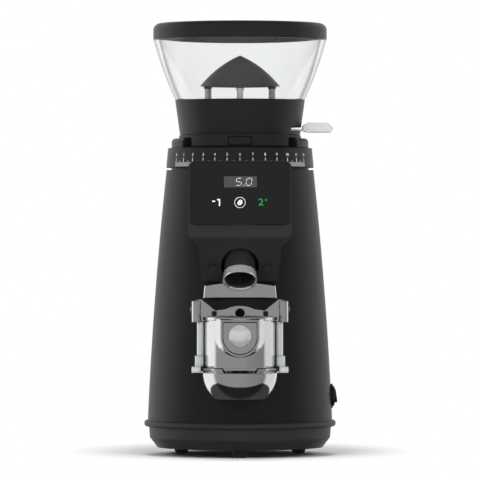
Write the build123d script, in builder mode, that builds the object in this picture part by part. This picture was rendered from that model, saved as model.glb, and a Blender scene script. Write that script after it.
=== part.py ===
from build123d import *
import os
from math import cos, radians, sin, sqrt

# Burr coffee grinder: a tapered tower with flat burrs, a clear hopper and a portafilter holder.
# Millimetres, +Z up, origin on the floor under the tower's axis, front towards -Y.

os.makedirs("parts", exist_ok=True)

# Clearances
running_gap = 0.3  # between pieces that move past each other
shaft_gap = 0.05  # radial, shaft in a bearing or hub
seat_gap = 0.1  # between round pieces that stay together
screw_gap = 0.2  # radial, screw in a clear hole
front = -1  # the front faces -Y
front_angle = -90  # bearing of the front about the tower axis
blind_end = 1.0  # left beyond the end of a blind hole, a screw or a root

# Feet and base
foot_count = 3
foot_circle = 78.0
foot_height = 9.0
foot_radius = 9.0
foot_taper = 1.5
foot_recess_depth = 5.0
foot_screw_radius = 2.1
foot_screw_head_radius = 3.8
foot_screw_head_height = 2.5
foot_boss_radius = 6.0
foot_boss_height = 7.0
tub_height = 24.0
tub_inset = 1.5  # tub rim inside the tower's foot
tub_corner = 9.5  # how far the side slopes in to the floor
tub_slope = 11.5  # height of the slope
tub_draft = 0.8  # how far the upright part of the side leans in
tub_rounding = 4.0
tub_wall = 3.0
tub_floor = 3.5
air_slot_count = 12
air_slot_circle = 34.0
air_slot_length = 18.0
air_slot_width = 4.0
flange_height = 7.0
flange_lip = 4.0  # flange beyond the tower's foot
flange_rounding = 3.0
flange_ledge = 12.0  # flange inside the tower's foot

# Burrs and grinding chamber, from the inside out
burr_radius = 41.5
burr_bore = 25.0
burr_thickness = 7.0
burr_spacing = 0.6
burr_bevel_width = 5.0
burr_bevel_depth = 2.5
burr_tooth_count = 12
burr_tooth_length = 15.0
burr_tooth_width = 3.4
burr_tooth_depth = 1.4
burr_tooth_slant = 28.0
burr_tooth_rake = 4.0
burr_rim_count = 36
burr_rim_length = 8.0
burr_rim_width = 1.3
burr_rim_depth = 0.7
burr_screw_count = 3
burr_screw_radius = 2.0
burr_screw_head_radius = 3.6
burr_screw_head_height = 2.0
burr_screw_sink = 4.0  # head seat below the teeth
burr_screw_grip = 5.0
sweep_width = 8.5  # room round the burrs for the sweepers
thread_wall = 6.0
trough_width = 17.0
neck_wall = 5.8
chamber_wall = 10.0
chamber_floor = 7.0
chamber_depth = 55.0  # below the tower's top
grind_height = 19.0  # chamber floor to deck
deck_thickness = 7.0
shoulder_width = 2.2  # chamber shoulder under the tower's lip
shoulder_thickness = 7.0
neck_rise = 18.0  # chamber neck above the tower's top
outlet_half_width = 16.0
outlet_height = 14.0
outlet_lift = 2.0  # outlet sill above the chamber floor
outlet_wall = 3.0
outlet_face = 62.0  # mating face in front of the axis
lug_count = 3
lug_radius = 7.0
lug_height = 12.0
lug_circle = 65.5

# Tower shell
body_lip = 5.7  # tower top beyond the chamber neck
lip_thickness = 4.0
body_height = 287.0
body_flare = 21.5  # foot radius less top radius
body_bulge = 2.3
body_wall = 3.0
vent_count = 7
vent_pitch = 11.0
vent_length = 64.0
vent_width = 4.0
vent_bottom = 96.0

# Dial and hopper seat
dial_gap = 2.5  # over the tower's top
dial_wall = 3.6  # at the top edge
dial_draft = 2.1  # radius gained down to the bottom edge
dial_edge = 0.6
web_thickness = 7.0
seat_height = 11.0
seat_width = 22.6
seat_step = 0.5  # seat inside the dial's bore line
seat_rounding = 4.5
seat_window_angle = 56.0  # half angle of the open front
seat_screw_count = 4
seat_screw_radius = 2.0
seat_screw_head_radius = 3.8
drive_pin_count = 3
drive_pin_radius = 3.0
drive_pin_circle = 41.0
drive_pin_grip = 8.0

# Hopper
collar_height = 44.0
collar_bottom_radius = 69.0
collar_flare = 5.6
collar_lip = 1.0
collar_lip_height = 3.2
collar_groove = 0.7
collar_rim_wall = 2.4
collar_rim_depth = 3.7
throat_radius = 30.5
funnel_rise = 22.9
spigot_wall = 3.0
spigot_bore = 29.5
band_angle = 48.0  # half angle of the front band
band_proud = 5.5  # front band beyond the collar's foot
band_depth = 6.0
band_lift = 1.2  # over the dial
pocket_wall = 3.0
pocket_depth = 5.0
bowl_height = 69.4
bowl_flare = 25.1
bowl_wall = 3.0
bowl_bulge = 1.6
lid_height = 18.6
lid_wall = 2.3
lid_corner = 8.0
lid_rim_height = 7.0
post_circle = 36.8
post_radius = 3.7
post_count = 4
post_angle = 0.0
post_boss_radius = 4.8
post_foot_clear = 1.1  # collar boss above the funnel
guard_rise = 36.0  # collar boss top to the cone's rim
guard_height = 35.5
guard_radius = 45.8
guard_wall = 2.4
guard_boss_drop = 3.0
guard_boss_rise = 5.5
guard_boss_wall = 0.9
guard_waist = 0.63  # radius share at half height
gate_lift = 8.2  # slot floor over the collar's underside
gate_slot_height = 4.4
gate_thickness = 2.0
gate_half_width = 38.0
gate_cover = 5.5  # plate beyond the throat
handle_length = 35.5
handle_slope = 6.5
handle_rise = 9.2  # above the plate's underside
handle_drop = 1.8
handle_shoulder = 6.0
handle_edge = 3.0
handle_half_width = 22.0
handle_gap = 2.6  # handle outside the collar's foot
handle_rounding = 1.2
handle_hole_radius = 1.4
latch_half_width = 12.6
latch_height = 9.0
latch_flange = 3.0
latch_proud = 1.0
latch_travel = 3.0
latch_side_gap = 0.6

# Motor
end_plate_thickness = 14.0
end_plate_radius = 72.0
can_room = 131.0  # tower height that the can leaves free
can_radius = 58.0
can_wall = 3.0
can_window_count = 8
can_window_width = 18.0
can_window_drop = 4.0  # under the middle of the free foot
core_headroom = 38.0  # can above the core
core_bore = 33.0
core_lift = 38.0  # core above the can's foot
core_slot_count = 18
core_slot_width = 5.0
core_slot_depth = 13.0
winding_height = 12.0
winding_inset = 2.5
air_gap = 0.4
shaft_radius = 8.0
upper_journal_radius = 7.5
lower_journal_radius = 6.0
nose_radius = 6.0
upper_bearing_radius = 17.5
upper_bearing_width = 11.0
lower_bearing_radius = 16.0
lower_bearing_width = 10.0
bearing_recess = 0.8
bearing_ring = 3.0  # width of a bearing ring beside its shield
bearing_step = 1.0  # floor under the upper bearing
shaft_clear = 2.0  # around the shaft where nothing carries it
frame_plate = 6.0
leg_count = 3
leg_circle = 58.0
leg_radius = 6.0
leg_pad_radius = 9.0
leg_pad_height = 4.0
fan_radius = 46.0
fan_blade_share = 0.9  # of the way from the hub to the rim
fan_height = 14.0
fan_hub_radius = 12.0
fan_gap = 2.0
fan_blade_count = 9
fan_blade_thickness = 1.6
fan_blade_twist = 35.0
fan_backplate = 2.0
motor_bolt_count = 4
motor_bolt_circle = 63.0
motor_bolt_radius = 2.5
motor_bolt_head_radius = 4.5
motor_bolt_head_height = 4.0
motor_bolt_grip = 8.0
carrier_thickness = 7.0
carrier_lift = 1.5  # carrier over the chamber floor
carrier_lip = 1.5  # carrier beyond the burr
sweeper_count = 3
sweeper_width = 8.0
sweeper_gap = 0.8
nut_radius = 10.0
nut_height = 7.0

# Electrics in the base
capacitor_radius = 15.0
capacitor_rounding = 2.0
capacitor_height = 70.0
capacitor_x = 58.0
capacitor_y = -44.0
board_width = 70.0
board_depth = 30.0
board_thickness = 1.6
board_y = 64.0
board_lift = 6.0
board_boss_radius = 3.5
board_screw_radius = 1.4
board_screw_inset = 4.0
relay_width = 20.0
relay_gap = 2.0
relay_height = 15.0
gland_height = 62.0
gland_bore = 3.9
gland_radius = 8.0
gland_flange_radius = 11.0
gland_flange = 3.0
gland_length = 18.0
gland_pad_radius = 14.0
gland_pad_rise = 1.6
switch_height = 67.5
switch_radius = 11.5
switch_rim = 2.0
switch_body_radius = 10.0
switch_depth = 18.0
switch_pad_radius = 14.0
switch_pad_rise = 1.6
rocker_radius = 8.6
rocker_rise = 2.4
rocker_depth = 6.0
rocker_tilt = 8.0
rocker_pin_radius = 1.2
rocker_pin_bite = 0.8

# Head, panel and outlet
head_half_width = 59.0
head_front = 131.6
head_wall = 3.0
head_rise = 9.5  # above the tower's top
head_corner = 10.0
cheek_drop = 77.0
chin_drop = 96.0
chin_half_width = 47.0
chin_front = 125.5
crease_drop = 86.5
chin_line_drop = 94.5
neck_foot_drop = 136.1
neck_foot_half_width = 43.0
neck_foot_front = 100.0
crease_rounding = 5.0
head_back_gap = 0.2
dial_clearance = 1.4
opening_half_width = 27.0
opening_top_drop = 11.0
opening_bottom_drop = 121.0
glass_width = 115.0
glass_height = 71.0
glass_corner = 9.0
glass_thickness = 2.4
glass_edge = 0.7
glass_top_drop = 1.3
panel_window_width = 70.0
panel_window_height = 44.0
display_board_width = 84.0
display_board_height = 52.0
display_width = 37.0
display_height = 12.5
display_drop = 22.6  # from the glass's top to the middle of the digits
head_screw_spread = 31.0
head_screw_drop = 120.5
head_screw_radius = 2.0
head_screw_head_radius = 4.0
head_screw_head_height = 3.0
head_screw_length = 21.0
head_screw_seat = 103.0
head_boss_radius = 7.0
spout_lean = 34.0
spout_front = 122.0
spout_drop = 135.5
tube_radius = 17.5
tube_bore = 15.2
tube_start = 4.0
tube_end = 81.0
tube_hole_gap = 3.5
tip_radius = 19.4
tip_length = 10.0
tip_wall = 0.9
tip_lip = 1.5
chute_front = 98.0
chute_half_width = 19.5
chute_wall = 2.6
chute_bottom_drop = 70.0
chute_top_gap = 0.5

# Holder for the portafilter
rail_half_width = 20.0
rail_stem_half_width = 14.0
rail_stem_depth = 31.7
rail_head = 3.0
rail_bottom_drop = 63.0
rail_top_rise = 6.0
bracket_back = 103.2
bracket_lip = 2.1
bracket_wall = 6.6
bracket_tail_drop = 53.0
bracket_tail_half_width = 30.0
yoke_drop = 5.7
yoke_bar_rise = 7.0
yoke_hump_rise = 12.2
yoke_hump_half_width = 16.5
yoke_shoulder_rise = 8.3
yoke_wing_half_width = 28.0
yoke_wing_rise = 19.8
ear_inner = 44.0
ear_outer = 54.0
ear_rise = 17.7
ear_front = 142.0
ear_rounding = 4.6
pad_size = 5.0
pad_rise = 1.0
pad_depth = 3.0
pad_lift = 3.3
pad_spread = 28.9
clamp_rise = 3.6
clamp_head_radius = 5.2
clamp_head_height = 3.0
clamp_shank_radius = 2.5
clamp_socket_radius = 3.0
clamp_socket_share = 0.7  # depth of the socket in the head
cup_radius = 40.3
cup_wall = 2.0
cup_centre = 130.5
cup_height = 56.8
cup_drop = 175.5  # cup rim below the head's top
cup_bead = 1.3
cup_bead_height = 3.6
boss_rim = 2.2
boss_proud = 1.0
boss_flare = 27.0
boss_depth = 16.0
paddle_half_width = 18.7
paddle_gap = 0.7
paddle_bottom_drop = 41.1
paddle_top_drop = 5.6
paddle_thickness = 3.0
paddle_inset = 0.7
dome_radius = 12.6
dome_rise = 6.0
dome_drop = 20.6
paddle_edge = 0.6
knuckle_radius = 3.0
knuckle_half_width = 14.0
paddle_pin_radius = 1.5
paddle_pin_drop = 9.0
paddle_pin_end = 20.5
paddle_switch_half_width = 8.0
paddle_switch_depth = 13.0
paddle_switch_step_drop = 43.0
paddle_switch_drop = 27.0
paddle_switch_foot_drop = 55.0
paddle_stroke = 3.4
frame_width = 7.7
column_depth = 14.0
column_rounding = 3.0
block_width = 2.2
block_depth = 20.0
block_drop = 43.6
tongue_rise = 13.0
tongue_width = 3.2
tongue_depth = 10.0
rail_bar_inner = 44.0
rail_bar_outer = 54.0
rail_bar_drop = 62.0
rail_bar_top_drop = 55.4
rail_bar_back = 110.0
rail_bar_front = 160.0
ledge_height = 1.6
ledge_inner = 40.8
side_pin_rise = 8.0
side_pin_radius = 2.0
side_pin_head_radius = 3.5
side_pin_head = 1.8
bowl_radius = 42.6
bowl_drop = 92.0
bowl_shell = 2.5
bowl_rim_drop = 62.6
bowl_neck_radius = 40.3
bowl_flange_height = 2.7
bowl_back = 111.0
notch_top_half_width = 20.5
notch_bottom_half_width = 18.0
notch_depth = 5.2
bowl_curve_angle = 20.0
cap_rise = 20.0
cap_side_rise = 35.0
cap_top_rise = 39.0
cap_half_width = 41.5
cap_top_half_width = 40.0
cap_front = 100.6
cap_edge = 1.2

# Heights and radii that follow from the sizes above
tub_bottom = foot_height
tub_floor_top = tub_bottom + tub_floor
tub_top = tub_bottom + tub_height
body_bottom = tub_top + flange_height
body_middle = body_bottom + body_height / 2
body_top = body_bottom + body_height
chamber_radius = burr_radius + sweep_width
thread_radius = chamber_radius + thread_wall
neck_bore = thread_radius + trough_width
neck_radius = neck_bore + neck_wall
body_top_radius = neck_radius + body_lip
body_bottom_radius = body_top_radius + body_flare
body_middle_radius = (body_top_radius + body_bottom_radius) / 2 + body_bulge
tub_top_radius = body_bottom_radius - tub_inset
tub_floor_radius = tub_top_radius - tub_corner
tub_side_radius = tub_top_radius - tub_draft
tub_side_bottom = tub_bottom + tub_slope
flange_radius = body_bottom_radius + flange_lip
shoulder_radius = neck_radius + shoulder_width
shoulder_top = body_top - lip_thickness
chamber_bottom = body_top - chamber_depth
chamber_floor_top = chamber_bottom + chamber_floor
chamber_outer = chamber_radius + chamber_wall
deck_bottom = chamber_floor_top + grind_height
deck_top = deck_bottom + deck_thickness
neck_top = body_top + neck_rise
outlet_bottom = chamber_floor_top + outlet_lift
outlet_middle = outlet_bottom + outlet_height / 2
motor_top = chamber_bottom - end_plate_thickness
can_length = body_height - can_room
core_length = can_length - core_lift - core_headroom
can_bottom = motor_top - can_length
can_bore = can_radius - can_wall
core_radius = can_bore - seat_gap
core_bottom = can_bottom + core_lift
core_top = core_bottom + core_length
rotor_radius = core_bore - air_gap
boss_bottom = can_bottom - lower_bearing_width
fan_top = boss_bottom - fan_gap
fan_bottom = fan_top - fan_height
carrier_bottom = chamber_floor_top + carrier_lift
carrier_top = carrier_bottom + carrier_thickness
lower_burr_top = carrier_top + burr_thickness
upper_burr_bottom = lower_burr_top + burr_spacing
upper_burr_top = upper_burr_bottom + burr_thickness
burr_screw_circle = (burr_radius + burr_bore) / 2
upper_carrier_radius = chamber_radius - running_gap
upper_carrier_top = neck_top - web_thickness
dial_bottom = body_top + dial_gap
dial_bore = neck_radius + running_gap
dial_top_radius = dial_bore + dial_wall
dial_bottom_radius = dial_top_radius + dial_draft
web_bottom = neck_top + running_gap
dial_top = web_bottom + web_thickness
seat_radius = dial_bore - seat_step
seat_bore = seat_radius - seat_width
seat_top = dial_top + seat_height
seat_screw_circle = seat_radius - seat_width / 2
collar_bottom = seat_top + running_gap
band_bottom = dial_top + band_lift
band_radius = collar_bottom_radius + band_proud
latch_back = sqrt((band_radius - band_depth) ** 2 - (latch_half_width + latch_flange) ** 2) - running_gap
collar_top = collar_bottom + collar_height
collar_top_radius = collar_bottom_radius + collar_flare
spigot_radius = spigot_bore + spigot_wall
spigot_bottom = upper_carrier_top + 3 * running_gap
rim_floor = collar_top - collar_rim_depth
funnel_radius = collar_top_radius - collar_rim_wall - bowl_wall
throat_top = rim_floor - funnel_rise
gate_floor = collar_bottom + gate_lift
gate_bottom = gate_floor + running_gap
funnel_slope = funnel_rise / (funnel_radius - throat_radius)
post_foot = throat_top + funnel_slope * (post_circle + post_radius - throat_radius) + post_foot_clear
bowl_top = collar_top + bowl_height
bowl_top_radius = collar_top_radius + bowl_flare
lid_bore = bowl_top_radius - lid_wall
lid_rim_radius = lid_bore - running_gap
lid_top = bowl_top + lid_height
guard_bottom = post_foot + guard_rise
guard_top = guard_bottom + guard_height
gland_pad = body_bottom_radius + gland_pad_rise - blind_end
switch_pad = body_bottom_radius + switch_pad_rise - blind_end
head_top = body_top + head_rise
glass_top = head_top - glass_top_drop
glass_middle = glass_top - glass_height / 2
display_middle = glass_top - display_drop
head_screw_height = head_top - head_screw_drop
neck_foot = head_top - neck_foot_drop
spout_height = head_top - spout_drop
cup_top = head_top - cup_drop
rail_bottom = cup_top - rail_bottom_drop
rail_top = cup_top + rail_top_rise
bracket_tail_bottom = cup_top - bracket_tail_drop
yoke_bottom = cup_top - yoke_drop
yoke_bar_top = cup_top + yoke_bar_rise
yoke_hump_top = cup_top + yoke_hump_rise
yoke_shoulder_top = cup_top + yoke_shoulder_rise
yoke_wing_top = cup_top + yoke_wing_rise
ear_top = cup_top + ear_rise
pad_height = cup_top + pad_lift
clamp_height = cup_top + clamp_rise
cup_bottom = cup_top - cup_height
paddle_bottom = cup_top - paddle_bottom_drop
paddle_top = cup_top - paddle_top_drop
dome_height = cup_top - dome_drop
paddle_pin_height = cup_top - paddle_pin_drop
paddle_switch_top = cup_top - paddle_switch_drop
paddle_switch_step = cup_top - paddle_switch_step_drop
paddle_switch_bottom = cup_top - paddle_switch_foot_drop
block_top = cup_top - block_drop
tongue_top = cup_top + tongue_rise
rail_bar_bottom = cup_top - rail_bar_drop
rail_bar_top = cup_top - rail_bar_top_drop
side_pin_height = cup_top + side_pin_rise
bowl_bottom = cup_top - bowl_drop
bowl_rim = cup_top - bowl_rim_drop
cap_bottom = cup_top + cap_rise
cap_side_top = cup_top + cap_side_rise
cap_top = cup_top + cap_top_rise
chute_bottom = body_top - chute_bottom_drop
chute_top = deck_bottom - chute_top_gap
chute_middle = (chute_bottom + chute_top) / 2
rail_head_back = bracket_back + bracket_lip + running_gap
rail_front = rail_head_back + rail_head
bracket_front = rail_front + running_gap + bracket_wall
clamp_seat = bracket_front - clamp_head_height
cup_front = cup_centre + cup_radius
boss_front = cup_front + boss_proud
window_half_width = paddle_half_width + paddle_gap
paddle_round = paddle_bottom + paddle_half_width
paddle_front = boss_front - paddle_inset
paddle_back = paddle_front - paddle_thickness
paddle_pin_depth = paddle_back - knuckle_radius / 2
dome_sphere = (dome_radius**2 + dome_rise**2) / (2 * dome_rise)
frame_inner = cup_radius + running_gap
frame_outer = frame_inner + frame_width
column_middle = cup_centre
tongue_middle = frame_outer - tongue_width / 2
rail_bar_middle = (rail_bar_inner + rail_bar_outer) / 2
bowl_flange_bottom = rail_bar_bottom + ledge_height + running_gap
bowl_flange_top = bowl_flange_bottom + bowl_flange_height
bowl_flange_radius = rail_bar_inner - 2 * running_gap

spout_plane = Plane(
    origin=(0, front * spout_front, spout_height),
    x_dir=(1, 0, 0),
    z_dir=(0, sin(radians(spout_lean)), cos(radians(spout_lean))),
)
cup_axis = Axis((0, front * cup_centre, 0), (0, 0, 1))


def body_radius(height):
    """Radius of the tower's outer face at a height."""
    share = (height - body_bottom) / body_height
    return body_bottom_radius - body_flare * share + 4 * body_bulge * share * (1 - share)


def tower_section(inset):
    """Half section of the tower, drawn inside its outer face by the inset."""
    with BuildSketch(Plane.XZ) as section:
        with BuildLine():
            side = ThreePointArc(
                (body_bottom_radius - inset, body_bottom),
                (body_middle_radius - inset, body_middle),
                (body_top_radius - inset, body_top),
            )
            Polyline(side @ 1, (0, body_top), (0, body_bottom), side @ 0)
        make_face()
    return section.sketch


def ring_section(inner, outer, bottom, top):
    """Half section of a plain ring about the tower's axis."""
    with BuildSketch(Plane.XZ) as section:
        with Locations(((inner + outer) / 2, (bottom + top) / 2)):
            Rectangle(outer - inner, top - bottom)
    return section.sketch


def head_form(inset):
    """Head and neck as a block, its front outline trimmed to its side profile, smaller by the inset."""
    half = head_half_width - inset
    top = head_top - inset
    foot = neck_foot + inset
    corner = head_corner - inset
    face = front * (head_front - inset)
    with BuildPart() as form:
        with BuildSketch(Plane.XZ):
            with BuildLine():
                Line((0, top), (half - corner, top))
                RadiusArc((half - corner, top), (half, top - corner), corner)
                side = Line((half, top - corner), (half, head_top - cheek_drop))
                cheek = TangentArc(
                    side @ 1,
                    (chin_half_width - inset, head_top - chin_drop),
                    tangent=side % 1,
                )
                Polyline(cheek @ 1, (neck_foot_half_width - inset, foot), (0, foot))
                mirror(about=Plane.YZ)
            make_face()
        extrude(amount=head_front)
        with BuildSketch(Plane.YZ):
            with BuildLine():
                lower = FilletPolyline(
                    (face, glass_middle),
                    (face, head_top - crease_drop),
                    (front * (chin_front - inset), head_top - chin_line_drop),
                    (front * (neck_foot_front - inset), foot),
                    radius=crease_rounding,
                )
                Polyline(lower @ 1, (0, foot), (0, top), (face, top), lower @ 0)
            make_face()
        extrude(amount=head_half_width, both=True, mode=Mode.INTERSECT)
    return form.part


def u_outline(half_width, depth, lift):
    """U-shaped outline of the paddle at a depth in front of the axis, its top raised by the lift."""
    top = paddle_top + lift
    with BuildSketch(Plane.XZ.offset(depth)) as outline:
        with Locations((0, paddle_round)):
            Circle(half_width)
        with Locations((0, (paddle_round + top) / 2)):
            Rectangle(2 * half_width, top - paddle_round)
        with Locations((0, top + half_width)):
            Rectangle(4 * half_width, 2 * half_width, mode=Mode.SUBTRACT)
    return outline.sketch


def boss_form():
    """Flared boss round the paddle, cut off under the cup's bead."""
    with BuildPart() as form:
        extrude(
            u_outline(window_half_width + boss_rim, boss_front, paddle_gap + boss_rim),
            amount=-boss_depth,
            taper=-boss_flare,
        )
        split(bisect_by=Plane.XY.offset(cup_top - cup_bead_height / 2), keep=Keep.BOTTOM)
    return form.part


def bowl_form(wall):
    """Catch bowl without its flange, flat at the back, drawn inside its outer face by the wall."""
    radius = bowl_radius - wall
    bottom = bowl_bottom + wall
    top = bowl_rim - wall
    neck = bowl_neck_radius - wall
    with BuildPart() as form:
        with BuildSketch(Plane.XZ.offset(cup_centre)):
            with BuildLine():
                curve = ThreePointArc(
                    (sqrt(radius**2 - (bowl_rim - bottom) ** 2), bottom),
                    (
                        radius * cos(radians(bowl_curve_angle)),
                        bowl_rim - radius * sin(radians(bowl_curve_angle)),
                    ),
                    (sqrt(radius**2 - wall**2), top),
                )
                Polyline(
                    curve @ 1,
                    (neck, top),
                    (neck, bowl_flange_top),
                    (0, bowl_flange_top),
                    (0, bottom),
                    curve @ 0,
                )
            make_face()
        revolve(axis=cup_axis)
        split(bisect_by=Plane.XZ.offset(bowl_back + wall), keep=Keep.TOP)
    return form.part


def burr_form(back, face):
    """Flat burr from its back to its toothed face: bevelled mouth, breaker grooves that run out
    towards the rim, fine rim grooves and sunk screw holes."""
    way = 1 if face > back else -1
    with BuildPart() as form:
        revolve(ring_section(burr_bore, burr_radius, min(back, face), max(back, face)), axis=Axis.Z)
        with BuildSketch(Plane.XZ):
            with BuildLine():
                Polyline(
                    (burr_bore, face),
                    (burr_bore + burr_bevel_width, face),
                    (burr_bore, face - way * burr_bevel_depth),
                    close=True,
                )
            make_face()
        revolve(axis=Axis.Z, mode=Mode.SUBTRACT)
        with PolarLocations(burr_bore + burr_tooth_length / 2, burr_tooth_count):
            with Locations(Location((0, 0, face), (0, -way * burr_tooth_rake, burr_tooth_slant))):
                Box(burr_tooth_length, burr_tooth_width, 2 * burr_tooth_depth, mode=Mode.SUBTRACT)
        with PolarLocations(burr_radius, burr_rim_count):
            with Locations(Location((0, 0, face), (0, 0, burr_tooth_slant))):
                Box(burr_rim_length, burr_rim_width, 2 * burr_rim_depth, mode=Mode.SUBTRACT)
        with BuildSketch(Plane.XY.offset(face)):
            with PolarLocations(burr_screw_circle, burr_screw_count):
                Circle(burr_screw_head_radius + screw_gap)
        extrude(amount=-way * burr_screw_sink, mode=Mode.SUBTRACT)
        with BuildSketch(Plane.XY.offset(face)):
            with PolarLocations(burr_screw_circle, burr_screw_count):
                Circle(burr_screw_radius + screw_gap)
        extrude(amount=-way * burr_thickness, mode=Mode.SUBTRACT)
    return form.part


# Base tub: a shallow dish with sides that slope in below, foot bosses, board bosses and air slots
with BuildPart() as base_tub:
    with BuildSketch(Plane.XZ):
        with BuildLine():
            outside = FilletPolyline(
                (tub_floor_radius, tub_bottom),
                (tub_side_radius, tub_side_bottom),
                (tub_top_radius, tub_top),
                radius=tub_rounding,
            )
            inside = FilletPolyline(
                (tub_top_radius - tub_wall, tub_top),
                (tub_side_radius - tub_wall, tub_side_bottom),
                (tub_floor_radius - tub_wall, tub_floor_top),
                radius=tub_rounding,
            )
            Line(outside @ 1, inside @ 0)
            Polyline(inside @ 1, (0, tub_floor_top), (0, tub_bottom), outside @ 0)
        make_face()
    revolve(axis=Axis.Z)
    with BuildSketch(Plane.XY.offset(tub_floor_top)):
        with PolarLocations(foot_circle, foot_count, start_angle=front_angle):
            Circle(foot_boss_radius)
    extrude(amount=foot_boss_height)
    with BuildSketch(Plane.XY.offset(tub_floor_top)):
        with Locations((0, board_y)):
            with GridLocations(
                board_width - 2 * board_screw_inset, board_depth - 2 * board_screw_inset, 2, 2
            ):
                Circle(board_boss_radius)
    extrude(amount=board_lift)
    with BuildSketch(Plane.XY.offset(tub_bottom)):
        with PolarLocations(foot_circle, foot_count, start_angle=front_angle):
            Circle(foot_screw_radius + screw_gap)
    extrude(amount=tub_floor + foot_boss_height - blind_end, mode=Mode.SUBTRACT)
    with BuildSketch(Plane.XY.offset(tub_bottom)):
        with PolarLocations(air_slot_circle, air_slot_count):
            SlotOverall(air_slot_length, air_slot_width)
    extrude(amount=tub_floor, mode=Mode.SUBTRACT)
    with BuildSketch(Plane.XY.offset(tub_floor_top)):
        with Locations((0, board_y)):
            with GridLocations(
                board_width - 2 * board_screw_inset, board_depth - 2 * board_screw_inset, 2, 2
            ):
                Circle(board_screw_radius + screw_gap / 2)
    extrude(amount=board_lift, mode=Mode.SUBTRACT)
base_tub.part.label = "base_tub"
export_step(base_tub.part, "parts/base_tub.step")

# Base flange: the rounded ring between the tub and the tower
with BuildPart() as base_flange:
    flange_section = ring_section(body_bottom_radius - flange_ledge, flange_radius, tub_top, body_bottom)
    revolve(flange_section, axis=Axis.Z)
    fillet(base_flange.edges().filter_by(GeomType.CIRCLE).group_by(SortBy.RADIUS)[-1], flange_rounding)
base_flange.part.label = "base_flange"
export_step(base_flange.part, "parts/base_flange.step")

# Rubber feet, each with a recess for its screw
with BuildPart() as rubber_feet:
    with PolarLocations(foot_circle, foot_count, start_angle=front_angle):
        Cone(
            foot_radius - foot_taper,
            foot_radius,
            foot_height,
            align=(Align.CENTER, Align.CENTER, Align.MIN),
        )
    with BuildSketch():
        with PolarLocations(foot_circle, foot_count, start_angle=front_angle):
            Circle(foot_screw_head_radius + screw_gap)
    extrude(amount=foot_recess_depth, mode=Mode.SUBTRACT)
    with BuildSketch():
        with PolarLocations(foot_circle, foot_count, start_angle=front_angle):
            Circle(foot_screw_radius + screw_gap)
    extrude(amount=foot_height, mode=Mode.SUBTRACT)
rubber_feet.part.label = "rubber_feet"
export_step(rubber_feet.part, "parts/rubber_feet.step")

# Foot screws, seated in the feet and running into the tub's bosses
with BuildPart() as foot_screws:
    with BuildSketch(Plane.XY.offset(foot_recess_depth - foot_screw_head_height)):
        with PolarLocations(foot_circle, foot_count, start_angle=front_angle):
            Circle(foot_screw_head_radius)
    extrude(amount=foot_screw_head_height)
    with BuildSketch(Plane.XY.offset(foot_recess_depth)):
        with PolarLocations(foot_circle, foot_count, start_angle=front_angle):
            Circle(foot_screw_radius)
    extrude(amount=tub_floor_top + foot_boss_height - 2 * blind_end - foot_recess_depth)
foot_screws.part.label = "foot_screws"
export_step(foot_screws.part, "parts/foot_screws.step")

# Tower shell: a bulged taper with a top lip, a front opening behind the head, rear vents and pads
with BuildPart() as body_shell:
    revolve(tower_section(0), axis=Axis.Z)
    with BuildSketch(Plane.YZ.offset(body_radius(switch_height) - body_wall)):
        with Locations((0, switch_height)):
            Circle(switch_pad_radius)
    extrude(amount=switch_pad - body_radius(switch_height) + body_wall)
    with BuildSketch(Plane.XZ.offset(-body_radius(gland_height) + body_wall)):
        with Locations((0, gland_height)):
            Circle(gland_pad_radius)
    extrude(amount=-(gland_pad - body_radius(gland_height) + body_wall))
    revolve(tower_section(body_wall), axis=Axis.Z, mode=Mode.SUBTRACT)
    revolve(ring_section(0, body_radius(shoulder_top) - body_wall, shoulder_top, body_top), axis=Axis.Z)
    neck_hole = ring_section(0, neck_radius + seat_gap, shoulder_top, body_top)
    revolve(neck_hole, axis=Axis.Z, mode=Mode.SUBTRACT)
    with BuildSketch(Plane.XZ):
        with Locations((0, body_top - (opening_top_drop + opening_bottom_drop) / 2)):
            RectangleRounded(2 * opening_half_width, opening_bottom_drop - opening_top_drop, head_wall)
        with Locations((-head_screw_spread, head_screw_height), (head_screw_spread, head_screw_height)):
            Circle(head_screw_radius + screw_gap)
    extrude(amount=body_bottom_radius, mode=Mode.SUBTRACT)
    with BuildSketch(Plane.XZ):
        with Locations((0, vent_bottom + (vent_count - 1) * vent_pitch / 2)):
            with GridLocations(vent_length, vent_pitch, 1, vent_count):
                SlotOverall(vent_length, vent_width)
        with Locations((0, gland_height)):
            Circle(gland_radius + seat_gap)
    extrude(amount=-2 * body_bottom_radius, mode=Mode.SUBTRACT)
    with BuildSketch(Plane.YZ):
        with Locations((0, switch_height)):
            Circle(switch_body_radius + seat_gap)
    extrude(amount=2 * body_bottom_radius, mode=Mode.SUBTRACT)
body_shell.part.label = "body_shell"
export_step(body_shell.part, "parts/body_shell.step")

# Cord gland in the tower's rear pad
with BuildPart() as cord_gland:
    with BuildSketch(Plane.XZ.offset(-gland_pad)):
        with Locations((0, gland_height)):
            Circle(gland_flange_radius)
    extrude(amount=-gland_flange)
    chamfer(cord_gland.edges().filter_by(GeomType.CIRCLE).sort_by(Axis.Y)[-1], gland_flange / 3)
    with BuildSketch(Plane.XZ.offset(-gland_pad)):
        with Locations((0, gland_height)):
            Circle(gland_radius)
    extrude(amount=gland_length - gland_flange)
    with BuildSketch(Plane.XZ):
        with Locations((0, gland_height)):
            Circle(gland_bore)
    extrude(amount=-2 * gland_pad, mode=Mode.SUBTRACT)
cord_gland.part.label = "cord_gland"
export_step(cord_gland.part, "parts/cord_gland.step")

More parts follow.
